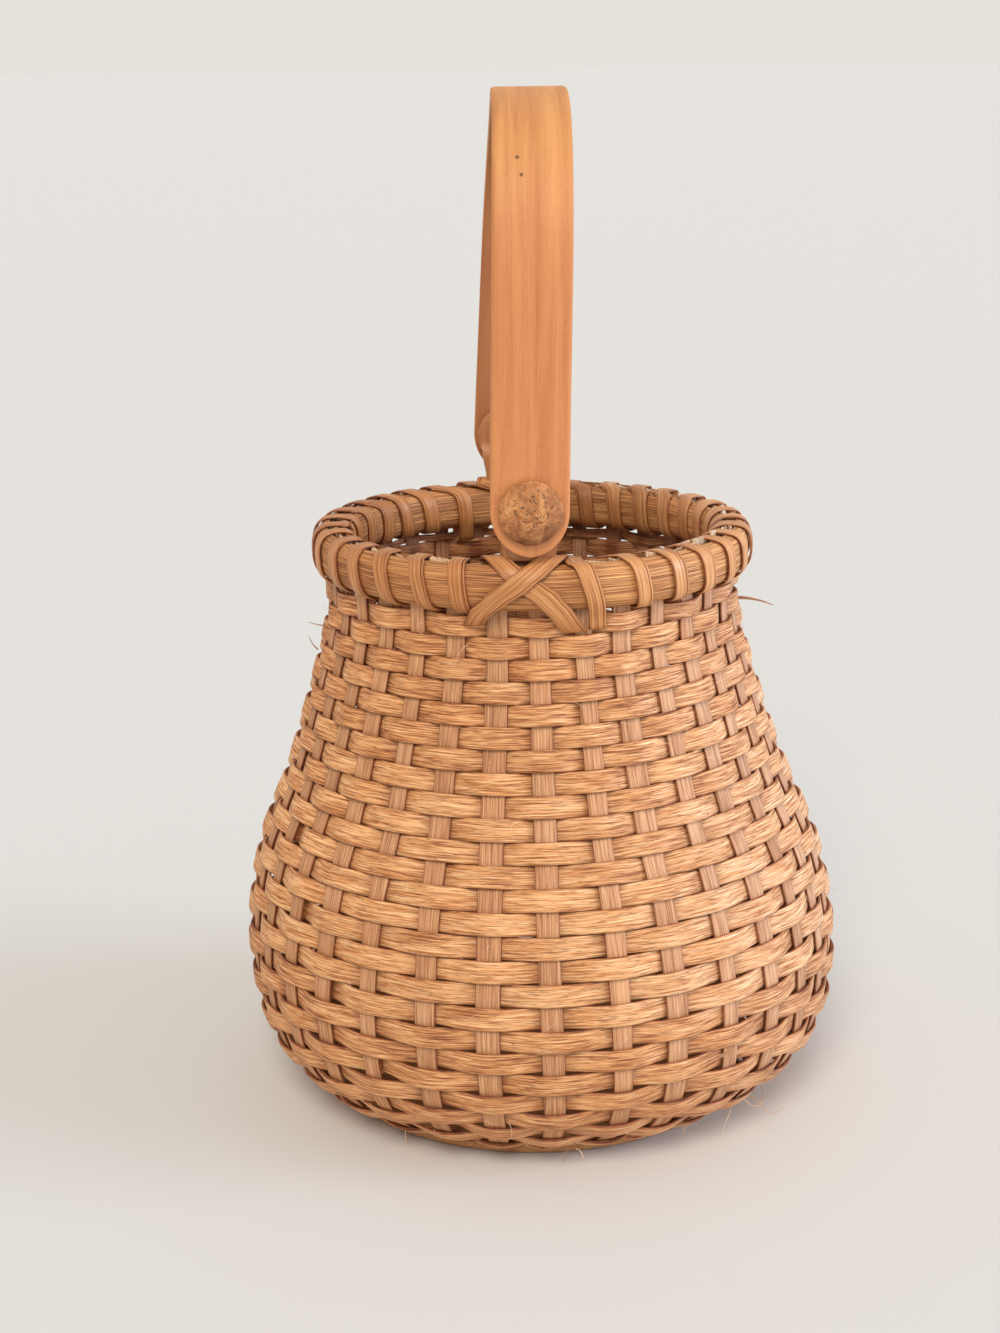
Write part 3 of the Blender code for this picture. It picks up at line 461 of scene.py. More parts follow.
def add_piece(name, points, faces, slot, body, stands_for, uv, seed, shade, look=None):
    """A smooth mesh with its grain map and attributes, riding on a body in place of CAD nodes."""
    mesh = bpy.data.meshes.new(name)
    mesh.from_pydata([tuple(p) for p in points], [], faces)
    loops = np.zeros(len(mesh.loops), int)
    mesh.loops.foreach_get("vertex_index", loops)
    layer = mesh.uv_layers.new(name="grain")
    layer.data.foreach_set("uv", np.asarray(uv, np.float32)[loops].ravel())
    for key, value in (("seed", seed), ("shade", shade)):
        values = np.broadcast_to(np.asarray(value, np.float32), len(mesh.vertices))
        mesh.attributes.new(key, "FLOAT", "POINT").data.foreach_set("value", np.ascontiguousarray(values))
    shape = bmesh.new()
    shape.from_mesh(mesh)
    bmesh.ops.recalc_face_normals(shape, faces=shape.faces)
    shape.to_mesh(mesh)
    shape.free()
    mesh.shade_smooth()
    mesh.set_sharp_from_angle(angle=SHARP_ANGLE)
    mesh.materials.append(MATERIALS[look or slot])
    obj = new_object(name, mesh)
    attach(obj, body)
    if stands_for:
        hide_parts(*stands_for)
    return obj


# Shade on a strip's edges, bevels, underside and groove
EDGE_SHADE, BEVEL_SHADE, UNDER_SHADE, GROOVE_SHADE = 0.95, 0.2, 0.25, 0.8
EDGE_SIDE, BEVEL_SIDE, FACE_SIDE, MIDDLE_DEPTH = 0.95, 0.93, 0.9, 0.5
# Sections of the strips: (share of the half width across, share of the half thickness out)
SECTION_LEFT = ((-1.0, -0.2), (-0.985, 0.45), (-0.93, 0.78), (-0.75, 0.93))
SECTION_REST = (
    (0.93, 0.78), (0.985, 0.45), (1.0, -0.2), (0.9, -0.74), (0.45, -0.9), (0.0, -0.92), (-0.45, -0.9),
    (-0.9, -0.74),
)
REED_SECTION = np.array((*SECTION_LEFT, (-0.4, 0.99), (0.0, 1.0), (0.4, 0.99), (0.75, 0.93), *SECTION_REST))
LASHING_SECTION = np.array((
    *SECTION_LEFT, (-0.3, 0.99), (0.2, 1.0), (0.60, 0.98), (0.68, 0.35), (0.76, 0.9), *SECTION_REST,
))


def skin(sections):
    """Points and faces of a closed tube over sections of equal count."""
    count, around = sections.shape[:2]
    ring = np.arange(around)
    start = np.arange(count - 1)[:, None] * around
    after = (ring + 1) % around
    faces = np.stack([start + ring, start + after, start + around + after, start + around + ring], -1)
    faces = faces.reshape(-1, 4).tolist()
    faces += [ring[::-1].tolist(), (ring + (count - 1) * around).tolist()]
    return sections.reshape(-1, 3), faces


def joined(parts):
    """The points and faces of several (points, faces) as one."""
    faces, shift = [], 0
    for points, part in parts:
        faces += [[i + shift for i in face] for face in part]
        shift += len(points)
    return np.concatenate([points for points, _ in parts]), faces


def strip(name, middle, across, out, half_width, half_thick, slot, node, seed, shade, section=REED_SECTION):
    """A strip over a path: its section is (share across, share out) of the half sizes at each station."""
    half_width = np.broadcast_to(half_width, len(middle))
    half_thick = np.broadcast_to(half_thick, len(middle))
    wide = section[None, :, 0, None] * (across * half_width[:, None])[:, None, :]
    deep = section[None, :, 1, None] * (out * half_thick[:, None])[:, None, :]
    points, faces = skin(middle[:, None, :] + wide + deep)
    way = lengths_along(middle)
    uv = np.stack([
        (section[None, :, 0] * half_width[:, None] + section[None, :, 1] * half_thick[:, None] * 0.5),
        np.broadcast_to(way[:, None], (len(way), len(section))),
    ], -1).reshape(-1, 2)
    side, depth = np.abs(section[:, 0]), section[:, 1]
    edges = EDGE_SHADE * (side > EDGE_SIDE) + UNDER_SHADE * (depth < -MIDDLE_DEPTH)
    edges = edges + BEVEL_SHADE * ((side == BEVEL_SIDE) & (depth > 0))
    edges = edges + GROOVE_SHADE * ((side < FACE_SIDE) & (np.abs(depth) < MIDDLE_DEPTH))
    shade = (np.clip(shade, 0, 1)[:, None] + edges[None, :]).ravel()
    return add_piece(name, points, faces, slot, "basket", [node], uv, seed, np.clip(shade, 0, 1))


def make_staves():
    for stave in range(STAVE_COUNT):
        arc = np.linspace(GROOVE_CLEARANCE - GROOVE_DEPTH, WALL.tip, STAVE_STATIONS)
        azimuth = stave_azimuth(stave, arc)
        radius = WALL.frame(arc, azimuth)[3]
        azimuth = azimuth + wander(arc, 0.035, 0.00035, 100 + stave) / radius
        middle, up, out, _ = WALL.frame(arc, azimuth)
        half = stave_width(stave, arc) / 2 * (1 + wander(arc, 0.02, 0.03, 200 + stave))
        shade = STAVE_SHADE + STAVE_SHADE_CHANGE * wander(arc, 0.03, 1.0, 300 + stave)
        strip(f"stave_strip_{stave + 1:02d}", middle, unit(np.cross(up, out)), out, half,
              STAVE_THICKNESS / 2, "stave_reed", f"stave_{stave + 1:02d}", random.random(),
              shade)


def row_middle(crossing):
    """The arc of the spiral's middle at a crossing: the rows are a little closer towards the neck."""
    bottom, top = FIRST_ROW_ARC, WALL.neck - LAST_ROW_DROP
    first = bottom + WEAVER_TIP - WEAVER_WIDTH / 2
    climb = top - WEAVER_TIP + WEAVER_WIDTH / 2 - first
    share = crossing / CROSSINGS
    return first + climb * (share + ROW_TIGHTENING_SHARE * share * (1 - share))


def make_weavers():
    """One rising spiral in spliced lengths: each strip swings out over a stave and in behind the next."""
    whole = np.arange(-2, CROSSINGS + 3)
    stave = (LAST_CROSSING_STAVE - CROSSINGS) % STAVE_COUNT + whole
    arc = row_middle(whole)
    azimuth = stave_azimuth(stave, arc)
    radius = WALL.frame(arc, azimuth)[3]
    half = stave_width(stave, arc) / 2 + STAVE_SIDE_CLEARANCE
    apart = np.diff(azimuth) * radius[1:]
    beside = np.minimum(np.concatenate([apart, apart[-1:]]), np.concatenate([apart[:1], apart]))
    swing = STAVE_THICKNESS / 2 + REED_THICKNESS / 2 + REED_CLEARANCE
    swing = swing / np.cos(math.pi * half / beside)
    for number in range(WEAVER_LENGTHS):
        first, last = number * CROSSINGS_PER_LENGTH, (number + 1) * CROSSINGS_PER_LENGTH
        low = max(first - SPLICE_REACH, 0)
        high = min(last + SPLICE_REACH, CROSSINGS)
        c = np.linspace(low, high, int((high - low) * STATIONS_PER_CROSSING) + 1)
        row = row_middle(c)
        pitch = (row_middle(c + STAVE_COUNT / 2) - row_middle(c - STAVE_COUNT / 2)) - ROW_CLEARANCE
        wide = np.minimum(pitch, WIDEST_WEAVER) * (WEAVER_FILL + wander(c, 5.0, 0.018, 400 + number))
        lift = wander(c, 5.0, 0.0001, 500 + number)
        bottom = np.maximum(row + lift - wide / 2, FIRST_ROW_ARC)
        top = np.minimum(row + lift + wide / 2, WALL.neck - LAST_ROW_DROP)
        offset = -np.interp(c, whole, swing) * np.cos(math.pi * c)
        sunk = smoothstep((first + SPLICE_SUNK - c) / SPLICE_RUN) * (number > 0)
        middle, up, out, _ = WALL.frame((bottom + top) / 2, np.interp(c, whole, azimuth))
        middle = middle + out * (offset - (REED_THICKNESS + SPLICE_GAP) * sunk)[:, None]
        along = unit(np.gradient(middle, axis=0))
        across = unit(up - along * (up * along).sum(-1, keepdims=True))
        face = unit(np.cross(along, across))
        face = face * np.sign((face * out).sum(-1, keepdims=True))
        thick = REED_THICKNESS / 2 * (1 + wander(c, 3.0, 0.06, 600 + number))
        deep = 0.5 + 0.5 * np.cos(math.pi * c)
        # Painted shade where the strip dips behind a stave, with a random change of tone
        shade = TUCK_SHADE * deep**TUCK_POWER + wander(c, 6.0, 0.14, 700 + number)
        strip(f"weaver_strip_{number + 1}", middle, across, face, (top - bottom) / 2, thick, "weaver_reed",
              f"weaver_{number + 1}", random.random(), shade)


# The rim's outline: a rounded shape round both hoops
RIM_OUTER = OUTER_HOOP_FLAT + OUTER_HOOP_THICKNESS
RIM_INNER = INNER_HOOP_FLAT - INNER_HOOP_THICKNESS
RIM_MIDDLE, RIM_REACH = (RIM_OUTER + RIM_INNER) / 2, (RIM_OUTER - RIM_INNER) / 2
RIM_HALF = HOOP_HEIGHT / 2
RIM_CENTRE = NECK_HEIGHT + RIM_HALF
FILLER_COUNT, FILLER_CLEARANCE, FILLER_EAR_CLEARANCE, FILLER_DEPTH = 150, 0.0006, 0.16, 0.009
BASE_HUB, BASE_STEPS, BORE_REACH, BORE_STEPS = 0.004, 128, 0.004, 48
EAR_CLEARANCE, EAR_EDGE, HANDLE_EDGE = 0.0014, 0.0006, 0.0011
PEG_STEPS, PEG_RIM, PEG_TIP, CHIP_DEPTH = 96, 0.0012, 0.0008, 0.0005


def rim_outline(turn, distance):
    """(radius, height) and its way out, at a turn that is 0 outside, a quarter below and a half inside."""
    c, s = np.cos(turn), -np.sin(turn)
    r = RIM_REACH * np.sign(c) * np.abs(c) ** (2 / RIM_POWER)
    z = RIM_HALF * np.sign(s) * np.abs(s) ** (2 / RIM_POWER)
    out = unit(np.stack([np.sign(c) * np.abs(r / RIM_REACH) ** (RIM_POWER - 1) / RIM_REACH,
                         np.sign(s) * np.abs(z / RIM_HALF) ** (RIM_POWER - 1) / RIM_HALF], -1))
    return RIM_MIDDLE + r + out[:, 0] * distance, RIM_CENTRE + z + out[:, 1] * distance, out


def rim_frame(azimuth, turn, distance):
    radius, height, out = rim_outline(turn, distance)
    return at_azimuth(azimuth, radius, height), at_azimuth(azimuth, out[:, 0], out[:, 1])


def make_hoop(name, flat, side, scarf, node):
    """A half-round reed bent to a ring, with its tapered ends lapped."""
    lap = SCARF_LENGTH / flat
    turns = np.linspace(0, 2 * math.pi + lap, HOOP_STATIONS)
    reach = RIM_OUTER - flat if side > 0 else flat - RIM_INNER
    z = RIM_HALF * np.sin(np.linspace(-1, 1, HOOP_CORNERS) * math.pi / 2) * HOOP_FILL
    full = RIM_REACH * (1 - np.abs(z / RIM_HALF) ** RIM_POWER) ** (1 / RIM_POWER)
    crown = RIM_MIDDLE + full if side > 0 else RIM_MIDDLE - full
    thick = np.clip(np.abs(crown - flat), HOOP_EDGE, None)
    sections = []
    for turn, ripple in zip(turns, wander(turns, 0.15, 0.00012, 31 + side)):
        near = 0.0 if turn < 2 * math.pi else 0.10 + 0.84 * (turn - 2 * math.pi) / lap
        far = 1.0 if turn > lap else 0.06 + 0.84 * turn / lap
        depth = np.minimum(thick - ripple, far * reach)
        floor = np.full_like(depth, near * reach)
        depth = np.maximum(depth, floor + HOOP_TIP)
        outer = np.stack([flat + side * depth, RIM_CENTRE + z], -1)
        inner = np.stack([flat + side * floor[::-4], RIM_CENTRE + z[::-4]], -1)
        radius, height = np.concatenate([outer, inner]).T
        sections.append(at_azimuth(scarf + turn, radius, height))
    sections = np.array(sections)
    points, faces = skin(sections)
    count = sections.shape[1]
    lengths = np.concatenate([
        np.cumsum([0.0012] * HOOP_CORNERS), np.linspace(0.03, 0.04, count - HOOP_CORNERS)])
    uv = np.stack([np.broadcast_to(lengths, (len(turns), count)),
                   np.broadcast_to((turns * flat)[:, None], (len(turns), count))], -1).reshape(-1, 2)
    # Painted shade, more on the side away from the window (towards -X), none where the rim faces +X
    shade = np.repeat(np.clip(0.16 - 0.16 * np.sin(scarf + turns), 0, 1), count)
    add_piece(name, points, faces, "hoop_reed", "basket", [node], uv, random.random(), shade)


# The length along the rim's outline, by which the lashing's path is evened
LOOP_TURNS = np.linspace(0, 2 * math.pi, 16001)
LOOP_RADII, LOOP_HEIGHTS, _ = rim_outline(LOOP_TURNS, 0.0)
LOOP_WAY = np.concatenate([[0], np.cumsum(np.hypot(np.diff(LOOP_RADII), np.diff(LOOP_HEIGHTS)))])


def carried(values, table, other):
    """Values of one loop table, laps included, as those of the other."""
    laps = np.floor(values / table[-1])
    return laps * other[-1] + np.interp(values - laps * table[-1], table, other)


def lashing_strip(name, controls, node, seed):
    """A reed strip through (azimuth, turn, lift, drop) controls round the rim, lying on the hoops."""
    controls = np.array(controls, float)
    controls[:, 1] = carried(controls[:, 1], LOOP_TURNS, LOOP_WAY)
    azimuth, turn, lift, drop = smooth_curve(controls, 10).T
    turn = carried(turn, LOOP_WAY, LOOP_TURNS)
    point, out = rim_frame(azimuth, turn, LASHING_GAP + LASHING_THICKNESS / 2 + np.maximum(lift, 0))
    point[:, 2] -= drop
    way = lengths_along(point)
    even = np.arange(0, way[-1], LASHING_STEP)
    columns = np.column_stack([point, out, azimuth, turn]).T
    kernel = np.hanning(LASHING_SPAN)[1:-1] / np.hanning(LASHING_SPAN).sum()
    columns = np.stack([
        np.convolve(np.pad(np.interp(even, way, column), len(kernel) // 2, mode="edge"), kernel, "valid")
        for column in columns
    ]).T
    point, out, azimuth, turn = columns[:, :3], unit(columns[:, 3:6]), columns[:, 6], columns[:, 7]
    along = unit(np.gradient(point, axis=0))
    rim = np.stack([np.cos(azimuth), np.sin(azimuth), np.zeros(len(azimuth))], -1)
    out = unit(out - along * (out * along).sum(-1, keepdims=True))
    lean = np.maximum(np.linalg.norm(np.cross(along, rim), axis=1), LEAST_LEAN)
    way = lengths_along(point)
    half = LASHING_WIDTH / 2 * (1 + wander(way, 0.045, 0.09, int(seed * 1000))) / lean
    end = np.minimum(way, way[-1] - way)
    half = half * (0.8 + 0.2 * smoothstep(end / 0.003)) * (1.16 - 0.16 * smoothstep((end - 0.028) / 0.01))
    # Painted shade, more away from the window (towards -X) and on the rim's inner side, with a random change
    # of tone
    inner = np.cos(turn) < -0.2
    shade = 0.16 - 0.15 * np.sin(azimuth) + 0.2 * inner + wander(way, 0.03, 0.2, int(seed * 777))
    strip(name, point, rim, out, half, LASHING_THICKNESS / 2, "lashing_reed", node, seed, shade,
          LASHING_SECTION)


def gap_azimuth(index):
    return (stave_azimuth(index, WALL.neck) + stave_azimuth(index + 1, WALL.neck)) / 2


def cross_drop(turn, hang):
    """How far a crossing strand hangs below the rim at its foot and climbs the ear at its top."""
    rise = smoothstep((-turn - 0.6) / 0.3) * smoothstep((1.2 + turn) / 0.2)
    return hang * smoothstep((turn - 0.1) / 0.7) - CROSS_RISE * rise


def make_lashing(name, ear, first_gap, last_gap, next_ear, node):
    """From the cross at one ear, round the rim between the staves, to the cross at the next ear."""
    q = math.pi / 2
    dice = np.random.default_rng(int(abs(ear) * 100) + 3)
    left, crossed = ear + OVER_STRAND[-1][1], ear + OVER_STRAND[0][1]
    controls = [(crossed - 0.015, -1.42 * q, 0, 0)]
    for turn, aside in OVER_STRAND:
        lift = CROSS_LIFT * max(1 - abs(turn), 0)
        controls.append((ear + aside, turn * q, lift, cross_drop(turn, OVER_HANG)))
    controls += [
        (left - 0.005, 1.12 * q, FOOT_LIFT, OVER_HANG * 0.7), (left + 0.05, 1.5 * q, 0, 0),
        (left + 0.15, 2.1 * q, FOOT_LIFT, 0), (crossed - 0.03, 2.6 * q, PASSING_LIFT, 0),
    ]
    start = ear + 0.205
    for turns, index in enumerate(range(first_gap, last_gap + 1)):
        base = 4 * q * (turns + 1)
        under = gap_azimuth(index) - (LAST_WRAP_STEP if index == last_gap else 0)
        if not turns:
            under -= 0.030
        lean = LASHING_LEAN * (1 + dice.uniform(-0.35, 0.35))
        hang = WRAP_HANG if not turns else dice.uniform(0, 0.0004)
        over = 0.0 if turns else PASSING_LIFT
        bulge = dice.uniform(0, WRAP_LIFT) + over
        controls += [
            (start - 0.01, base - 1.12 * q, 0, 0), (start, base - 0.8 * q, 0, 0),
            (start + (under - start) * 0.3, base - 0.45 * q, bulge, 0),
            (start + (under - start) * 0.8, base + 0.45 * q, bulge, 0), (under, base + 0.85 * q, over, hang),
            (under + 0.003, base + 1.15 * q, over, hang * 0.6), (under + lean * 0.3, base + 1.6 * q, 0, 0),
            (under + lean * 0.8, base + 2.4 * q, 0, 0),
        ]
        start = gap_azimuth(index + 1) - LASHING_LEAN + dice.uniform(-0.014, 0.014)
    base += 4 * q
    for turn, aside in UNDER_STRAND:
        controls.append((next_ear + aside, base + turn * q, 0, cross_drop(turn, UNDER_HANG)))
    foot = next_ear + UNDER_STRAND[-1][1]
    controls.append((foot + 0.01, base + 1.15 * q, 0, UNDER_HANG * 0.7))
    lashing_strip(name, controls, node, dice.uniform(0.2, 0.8))


def make_filler():
    """Pale stave ends and splints that stand between the hoops, seen from above between the wraps."""
    parts, seeds = [], []
    ring = np.array([(-1, -1), (1, -1), (1, 1), (-1, 1)])
    for _ in range(FILLER_COUNT):
        azimuth = draw(0, 2 * math.pi)
        radius = draw(INNER_HOOP_FLAT + FILLER_CLEARANCE, OUTER_HOOP_FLAT - FILLER_CLEARANCE)
        if min(abs(azimuth), abs(azimuth - math.pi), 2 * math.pi - azimuth) < FILLER_EAR_CLEARANCE:
            continue
        half, thick = draw(0.0016, 0.0034), draw(0.0003, 0.0005)
        top = RIM_TOP - draw(0, 0.0016)
        top = top + 0.0011 * (0.4 < azimuth < 1.6) + 0.0006 * (0.5 < azimuth < 1.1)
        tilt = draw(-0.0008, 0.0008)
        across = np.array((math.cos(azimuth), math.sin(azimuth), 0))
        out = np.array((math.sin(azimuth), -math.cos(azimuth), 0))
        up = np.array((0, 0, 1))
        sections = [
            out * (radius + slip) + up * z + ring[:, :1] * half * across + ring[:, 1:] * thick * out
            + up * ring[:, :1] * (tilt if z > RIM_TOP - 0.003 else 0)
            for z, slip in ((RIM_TOP - FILLER_DEPTH, 0.0), (top - 0.0003, tilt * 0.6), (top, tilt))
        ]
        parts.append(skin(np.array(sections)))
        seeds.append(np.full(len(parts[-1][0]), DICE.random()))
    points, faces = joined(parts)
    uv = np.stack([points[:, 0] + points[:, 1], points[:, 2]], -1)
    add_piece("rim_filler", points, faces, "weaver_reed", "basket", (), uv, np.concatenate(seeds), 0.1,
              "pale_reed")


def turned(profile, steps):
    """Points and faces of a solid turned about Z from (radius, height) points, poles at both ends."""
    rings = profile[1:-1]
    angles = np.linspace(0, 2 * math.pi, steps, endpoint=False)
    points = [(0, 0, profile[0][1])]
    for radius, height in rings:
        points += [(radius * math.cos(a), radius * math.sin(a), height) for a in angles]
    points.append((0, 0, profile[-1][1]))
    last = len(points) - 1
    faces = [(0, 1 + i, 1 + (i + 1) % steps) for i in range(steps)]
    for ring in range(len(rings) - 1):
        a, b = 1 + ring * steps, 1 + (ring + 1) * steps
        faces += [(a + i, b + i, b + (i + 1) % steps, a + (i + 1) % steps) for i in range(steps)]
    tail = 1 + (len(rings) - 1) * steps
    faces += [(tail + (i + 1) % steps, tail + i, last) for i in range(steps)]
    return np.array(points), faces


def make_base():
    """A disc with an edge groove for the staves' ends, its flat faces in rings for the smooth shading."""
    slot = STAVE_THICKNESS / 2 + GROOVE_CLEARANCE
    edge = [
        (BASE_RADIUS - BASE_CHAMFER * (1 - math.sin(a)), BASE_THICKNESS - BASE_CHAMFER * (1 - math.cos(a)))
        for a in np.linspace(0, math.pi / 2, 5)
    ]
    top = [(r, BASE_THICKNESS) for r in np.linspace(BASE_HUB, BASE_RADIUS - BASE_CHAMFER, 12)[:-1]]
    low = [(radius, BASE_CHAMFER - (height - BASE_THICKNESS + BASE_CHAMFER)) for radius, height in edge[::-1]]
    floor = [(r, 0.0) for r in np.linspace(BASE_HUB, BASE_RADIUS - BASE_CHAMFER, 6)[:-1][::-1]]
    groove = [
        (BASE_RADIUS, GROOVE_HEIGHT + slot), (BASE_RADIUS - GROOVE_DEPTH, GROOVE_HEIGHT + slot),
        (BASE_RADIUS - GROOVE_DEPTH, GROOVE_HEIGHT - slot), (BASE_RADIUS, GROOVE_HEIGHT - slot),
    ]
    points, faces = turned([(0, BASE_THICKNESS), *top, *edge, *groove, *low, *floor, (0, 0)], BASE_STEPS)
    add_piece("base_disc", points, faces, "base_wood", "basket", ["base"], points[:, :2], 0.3, 0.1)


def bored(obj, radius, side, start, end):
    """Cuts the peg's hole along Y and keeps the result as the piece's own mesh."""
    start, end = start - BORE_REACH, end + BORE_REACH
    shape = bmesh.new()
    bmesh.ops.create_cone(shape, cap_ends=True, segments=BORE_STEPS, radius1=radius, radius2=radius,
                          depth=end - start)
    mesh = bpy.data.meshes.new("bore")
    shape.to_mesh(mesh)
    shape.free()
    cutter = new_object("bore", mesh)
    cutter.location = PEG_AXIS + Vector((0, side * (start + end) / 2, 0))
    cutter.rotation_euler = (math.pi / 2, 0, 0)
    cut = obj.modifiers.new("Bore", "BOOLEAN")
    cut.object, cut.operation, cut.solver = cutter, "DIFFERENCE", "EXACT"
    bpy.context.view_layer.update()
    done = bpy.data.meshes.new_from_object(obj.evaluated_get(bpy.context.evaluated_depsgraph_get()))
    obj.modifiers.clear()
    obj.data = done
    bpy.data.objects.remove(cutter)


def rounded_section(half_width, half_thick, edge, steps=4):
    """Corners of a flat section with rounded edges, anticlockwise from the lower left."""
    corners = []
    for cx, cy, start in ((1, -1, -0.5), (1, 1, 0.0), (-1, 1, 0.5), (-1, -1, 1.0)):
        for i in range(steps + 1):
            a = math.pi * (start + 0.5 * i / steps)
            x = cx * (half_width - edge) + edge * math.cos(a)
            corners.append((x, cy * (half_thick - edge) + edge * math.sin(a)))
    return np.array(corners)


def make_ear(name, azimuth, side, node):
    """A flat tail between the hoops, a stem, and a round head that is thinner than the stem."""
    head = EAR_HEAD_RADIUS
    thin = EAR_FACE - EAR_HEAD_THICKNESS
    clear = RIM_TOP + EAR_CLEARANCE
    shoulder = PEG_HEIGHT - EAR_SHOULDER_DROP
    flare = math.sqrt(head**2 - EAR_SHOULDER_DROP**2)
    stations = [(NECK_HEIGHT + HOOP_GAP, EAR_TAIL_WIDTH / 2, EAR_INNER, EAR_OUTER),
                (RIM_TOP, EAR_STEM_WIDTH / 2, EAR_INNER, EAR_OUTER)]
    for share in np.linspace(0, 1, 6):
        wide = EAR_STEM_WIDTH / 2 + (flare - EAR_STEM_WIDTH / 2) * smoothstep(share)
        stations.append((clear + (shoulder - clear) * share, wide, EAR_INNER, EAR_FACE))
    for share in np.linspace(0.2, 1, 5):
        height = shoulder + EAR_SHOULDER_BEVEL * share
        back = EAR_INNER + (thin - EAR_INNER) * math.sin(share * math.pi / 2)
        stations.append((height, math.sqrt(head**2 - (height - PEG_HEIGHT) ** 2), back, EAR_FACE))
    start = math.asin((shoulder + EAR_SHOULDER_BEVEL - PEG_HEIGHT) / head)
    for a in np.linspace(start, math.pi / 2 - 0.06, 16)[1:]:
        stations.append((PEG_HEIGHT + head * math.sin(a), head * math.cos(a), thin, EAR_FACE))
    out = np.array((math.sin(azimuth), -math.cos(azimuth), 0))
    across = np.array((math.cos(azimuth), math.sin(azimuth), 0))
    sections, uv = [], []
    for z, half, inner, outer in stations:
        profile = rounded_section(half, (outer - inner) / 2, min(EAR_EDGE, half * 0.5))
        middle = out * (inner + outer) / 2 + np.array((0, 0, z))
        sections.append(middle + profile[:, :1] * across + profile[:, 1:] * out)
        uv.append(np.stack([profile[:, 0] + profile[:, 1], np.full(len(profile), z)], -1))
    points, faces = skin(np.array(sections))
    obj = add_piece(name, points, faces, "ear_wood", "basket", [node], np.concatenate(uv),
                    random.random(), 0.15)
    bored(obj, PEG_RADIUS + PEG_FIT, side, EAR_INNER, EAR_FACE)


def make_peg(name, side, node):
    """A whittled peg: a rough domed head outside the handle, a plain shank through the ear."""
    dome = [
        (PEG_HEAD_RADIUS * math.cos(a), PEG_SHOULDER + PEG_RIM + (PEG_HEAD_HEIGHT - PEG_RIM) * math.sin(a))
        for a in np.linspace(1.52, 0.0, 30)
    ]
    profile = [
        (0, PEG_SHOULDER + PEG_HEAD_HEIGHT), *dome, (PEG_HEAD_RADIUS * 0.985, PEG_SHOULDER + 0.0004),
        (PEG_HEAD_RADIUS * 0.93, PEG_SHOULDER), (PEG_RADIUS, PEG_SHOULDER),
        (PEG_RADIUS, PEG_INNER_END + PEG_TIP), (PEG_RADIUS - PEG_TIP, PEG_INNER_END), (0, PEG_INNER_END),
    ]
    points, faces = turned(profile, PEG_STEPS)
    dice = np.random.default_rng(5 + side)
    rough = np.zeros(len(points))
    for wave in range(60):
        pitch = 0.0009 * 1.09 ** (wave % 30)
        heading = unit(dice.normal(size=3) * (1, 1, 0.4))
        waves = np.cos(points @ heading * 2 * math.pi / pitch + dice.uniform(0, 6.3))
        rough += waves * (pitch / 0.004) ** 0.6
    rough = np.clip(rough / 5, -1, 1)
    chipped = np.clip(-rough - 0.25, 0, 1)
    share = np.clip((points[:, 2] - PEG_SHOULDER) / PEG_HEAD_HEIGHT, 0, 1)
    head = share > 0.05
    points[:, :2] *= (1 + np.where(head, 0.016 * rough, 0))[:, None]
    points[:, 2] -= np.where(head, CHIP_DEPTH * chipped * smoothstep(share * 3), 0)
    turn = Matrix.Translation(PEG_AXIS) @ Matrix.Rotation(-side * math.pi / 2, 4, "X")
    points = np.array([turn @ Vector(p) for p in points])
    # Painted light and shade on the head: darker at its edge, towards its bottom and its +X side, and in its
    # chips
    low = np.clip((PEG_HEIGHT - points[:, 2]) / PEG_HEAD_RADIUS, 0, 1) ** 2
    side_dark = np.clip((points[:, 0] - PEG_AXIS.x) / PEG_HEAD_RADIUS, 0, 1) ** 2
    shade = np.clip(0.8 - 2.4 * share, 0, 1) + 0.95 * low + 0.3 * side_dark + 0.3 * chipped
    add_piece(name, points, faces, "peg_wood", "basket", [node], points[:, :2], random.random(),
              np.clip(shade, 0, 1))


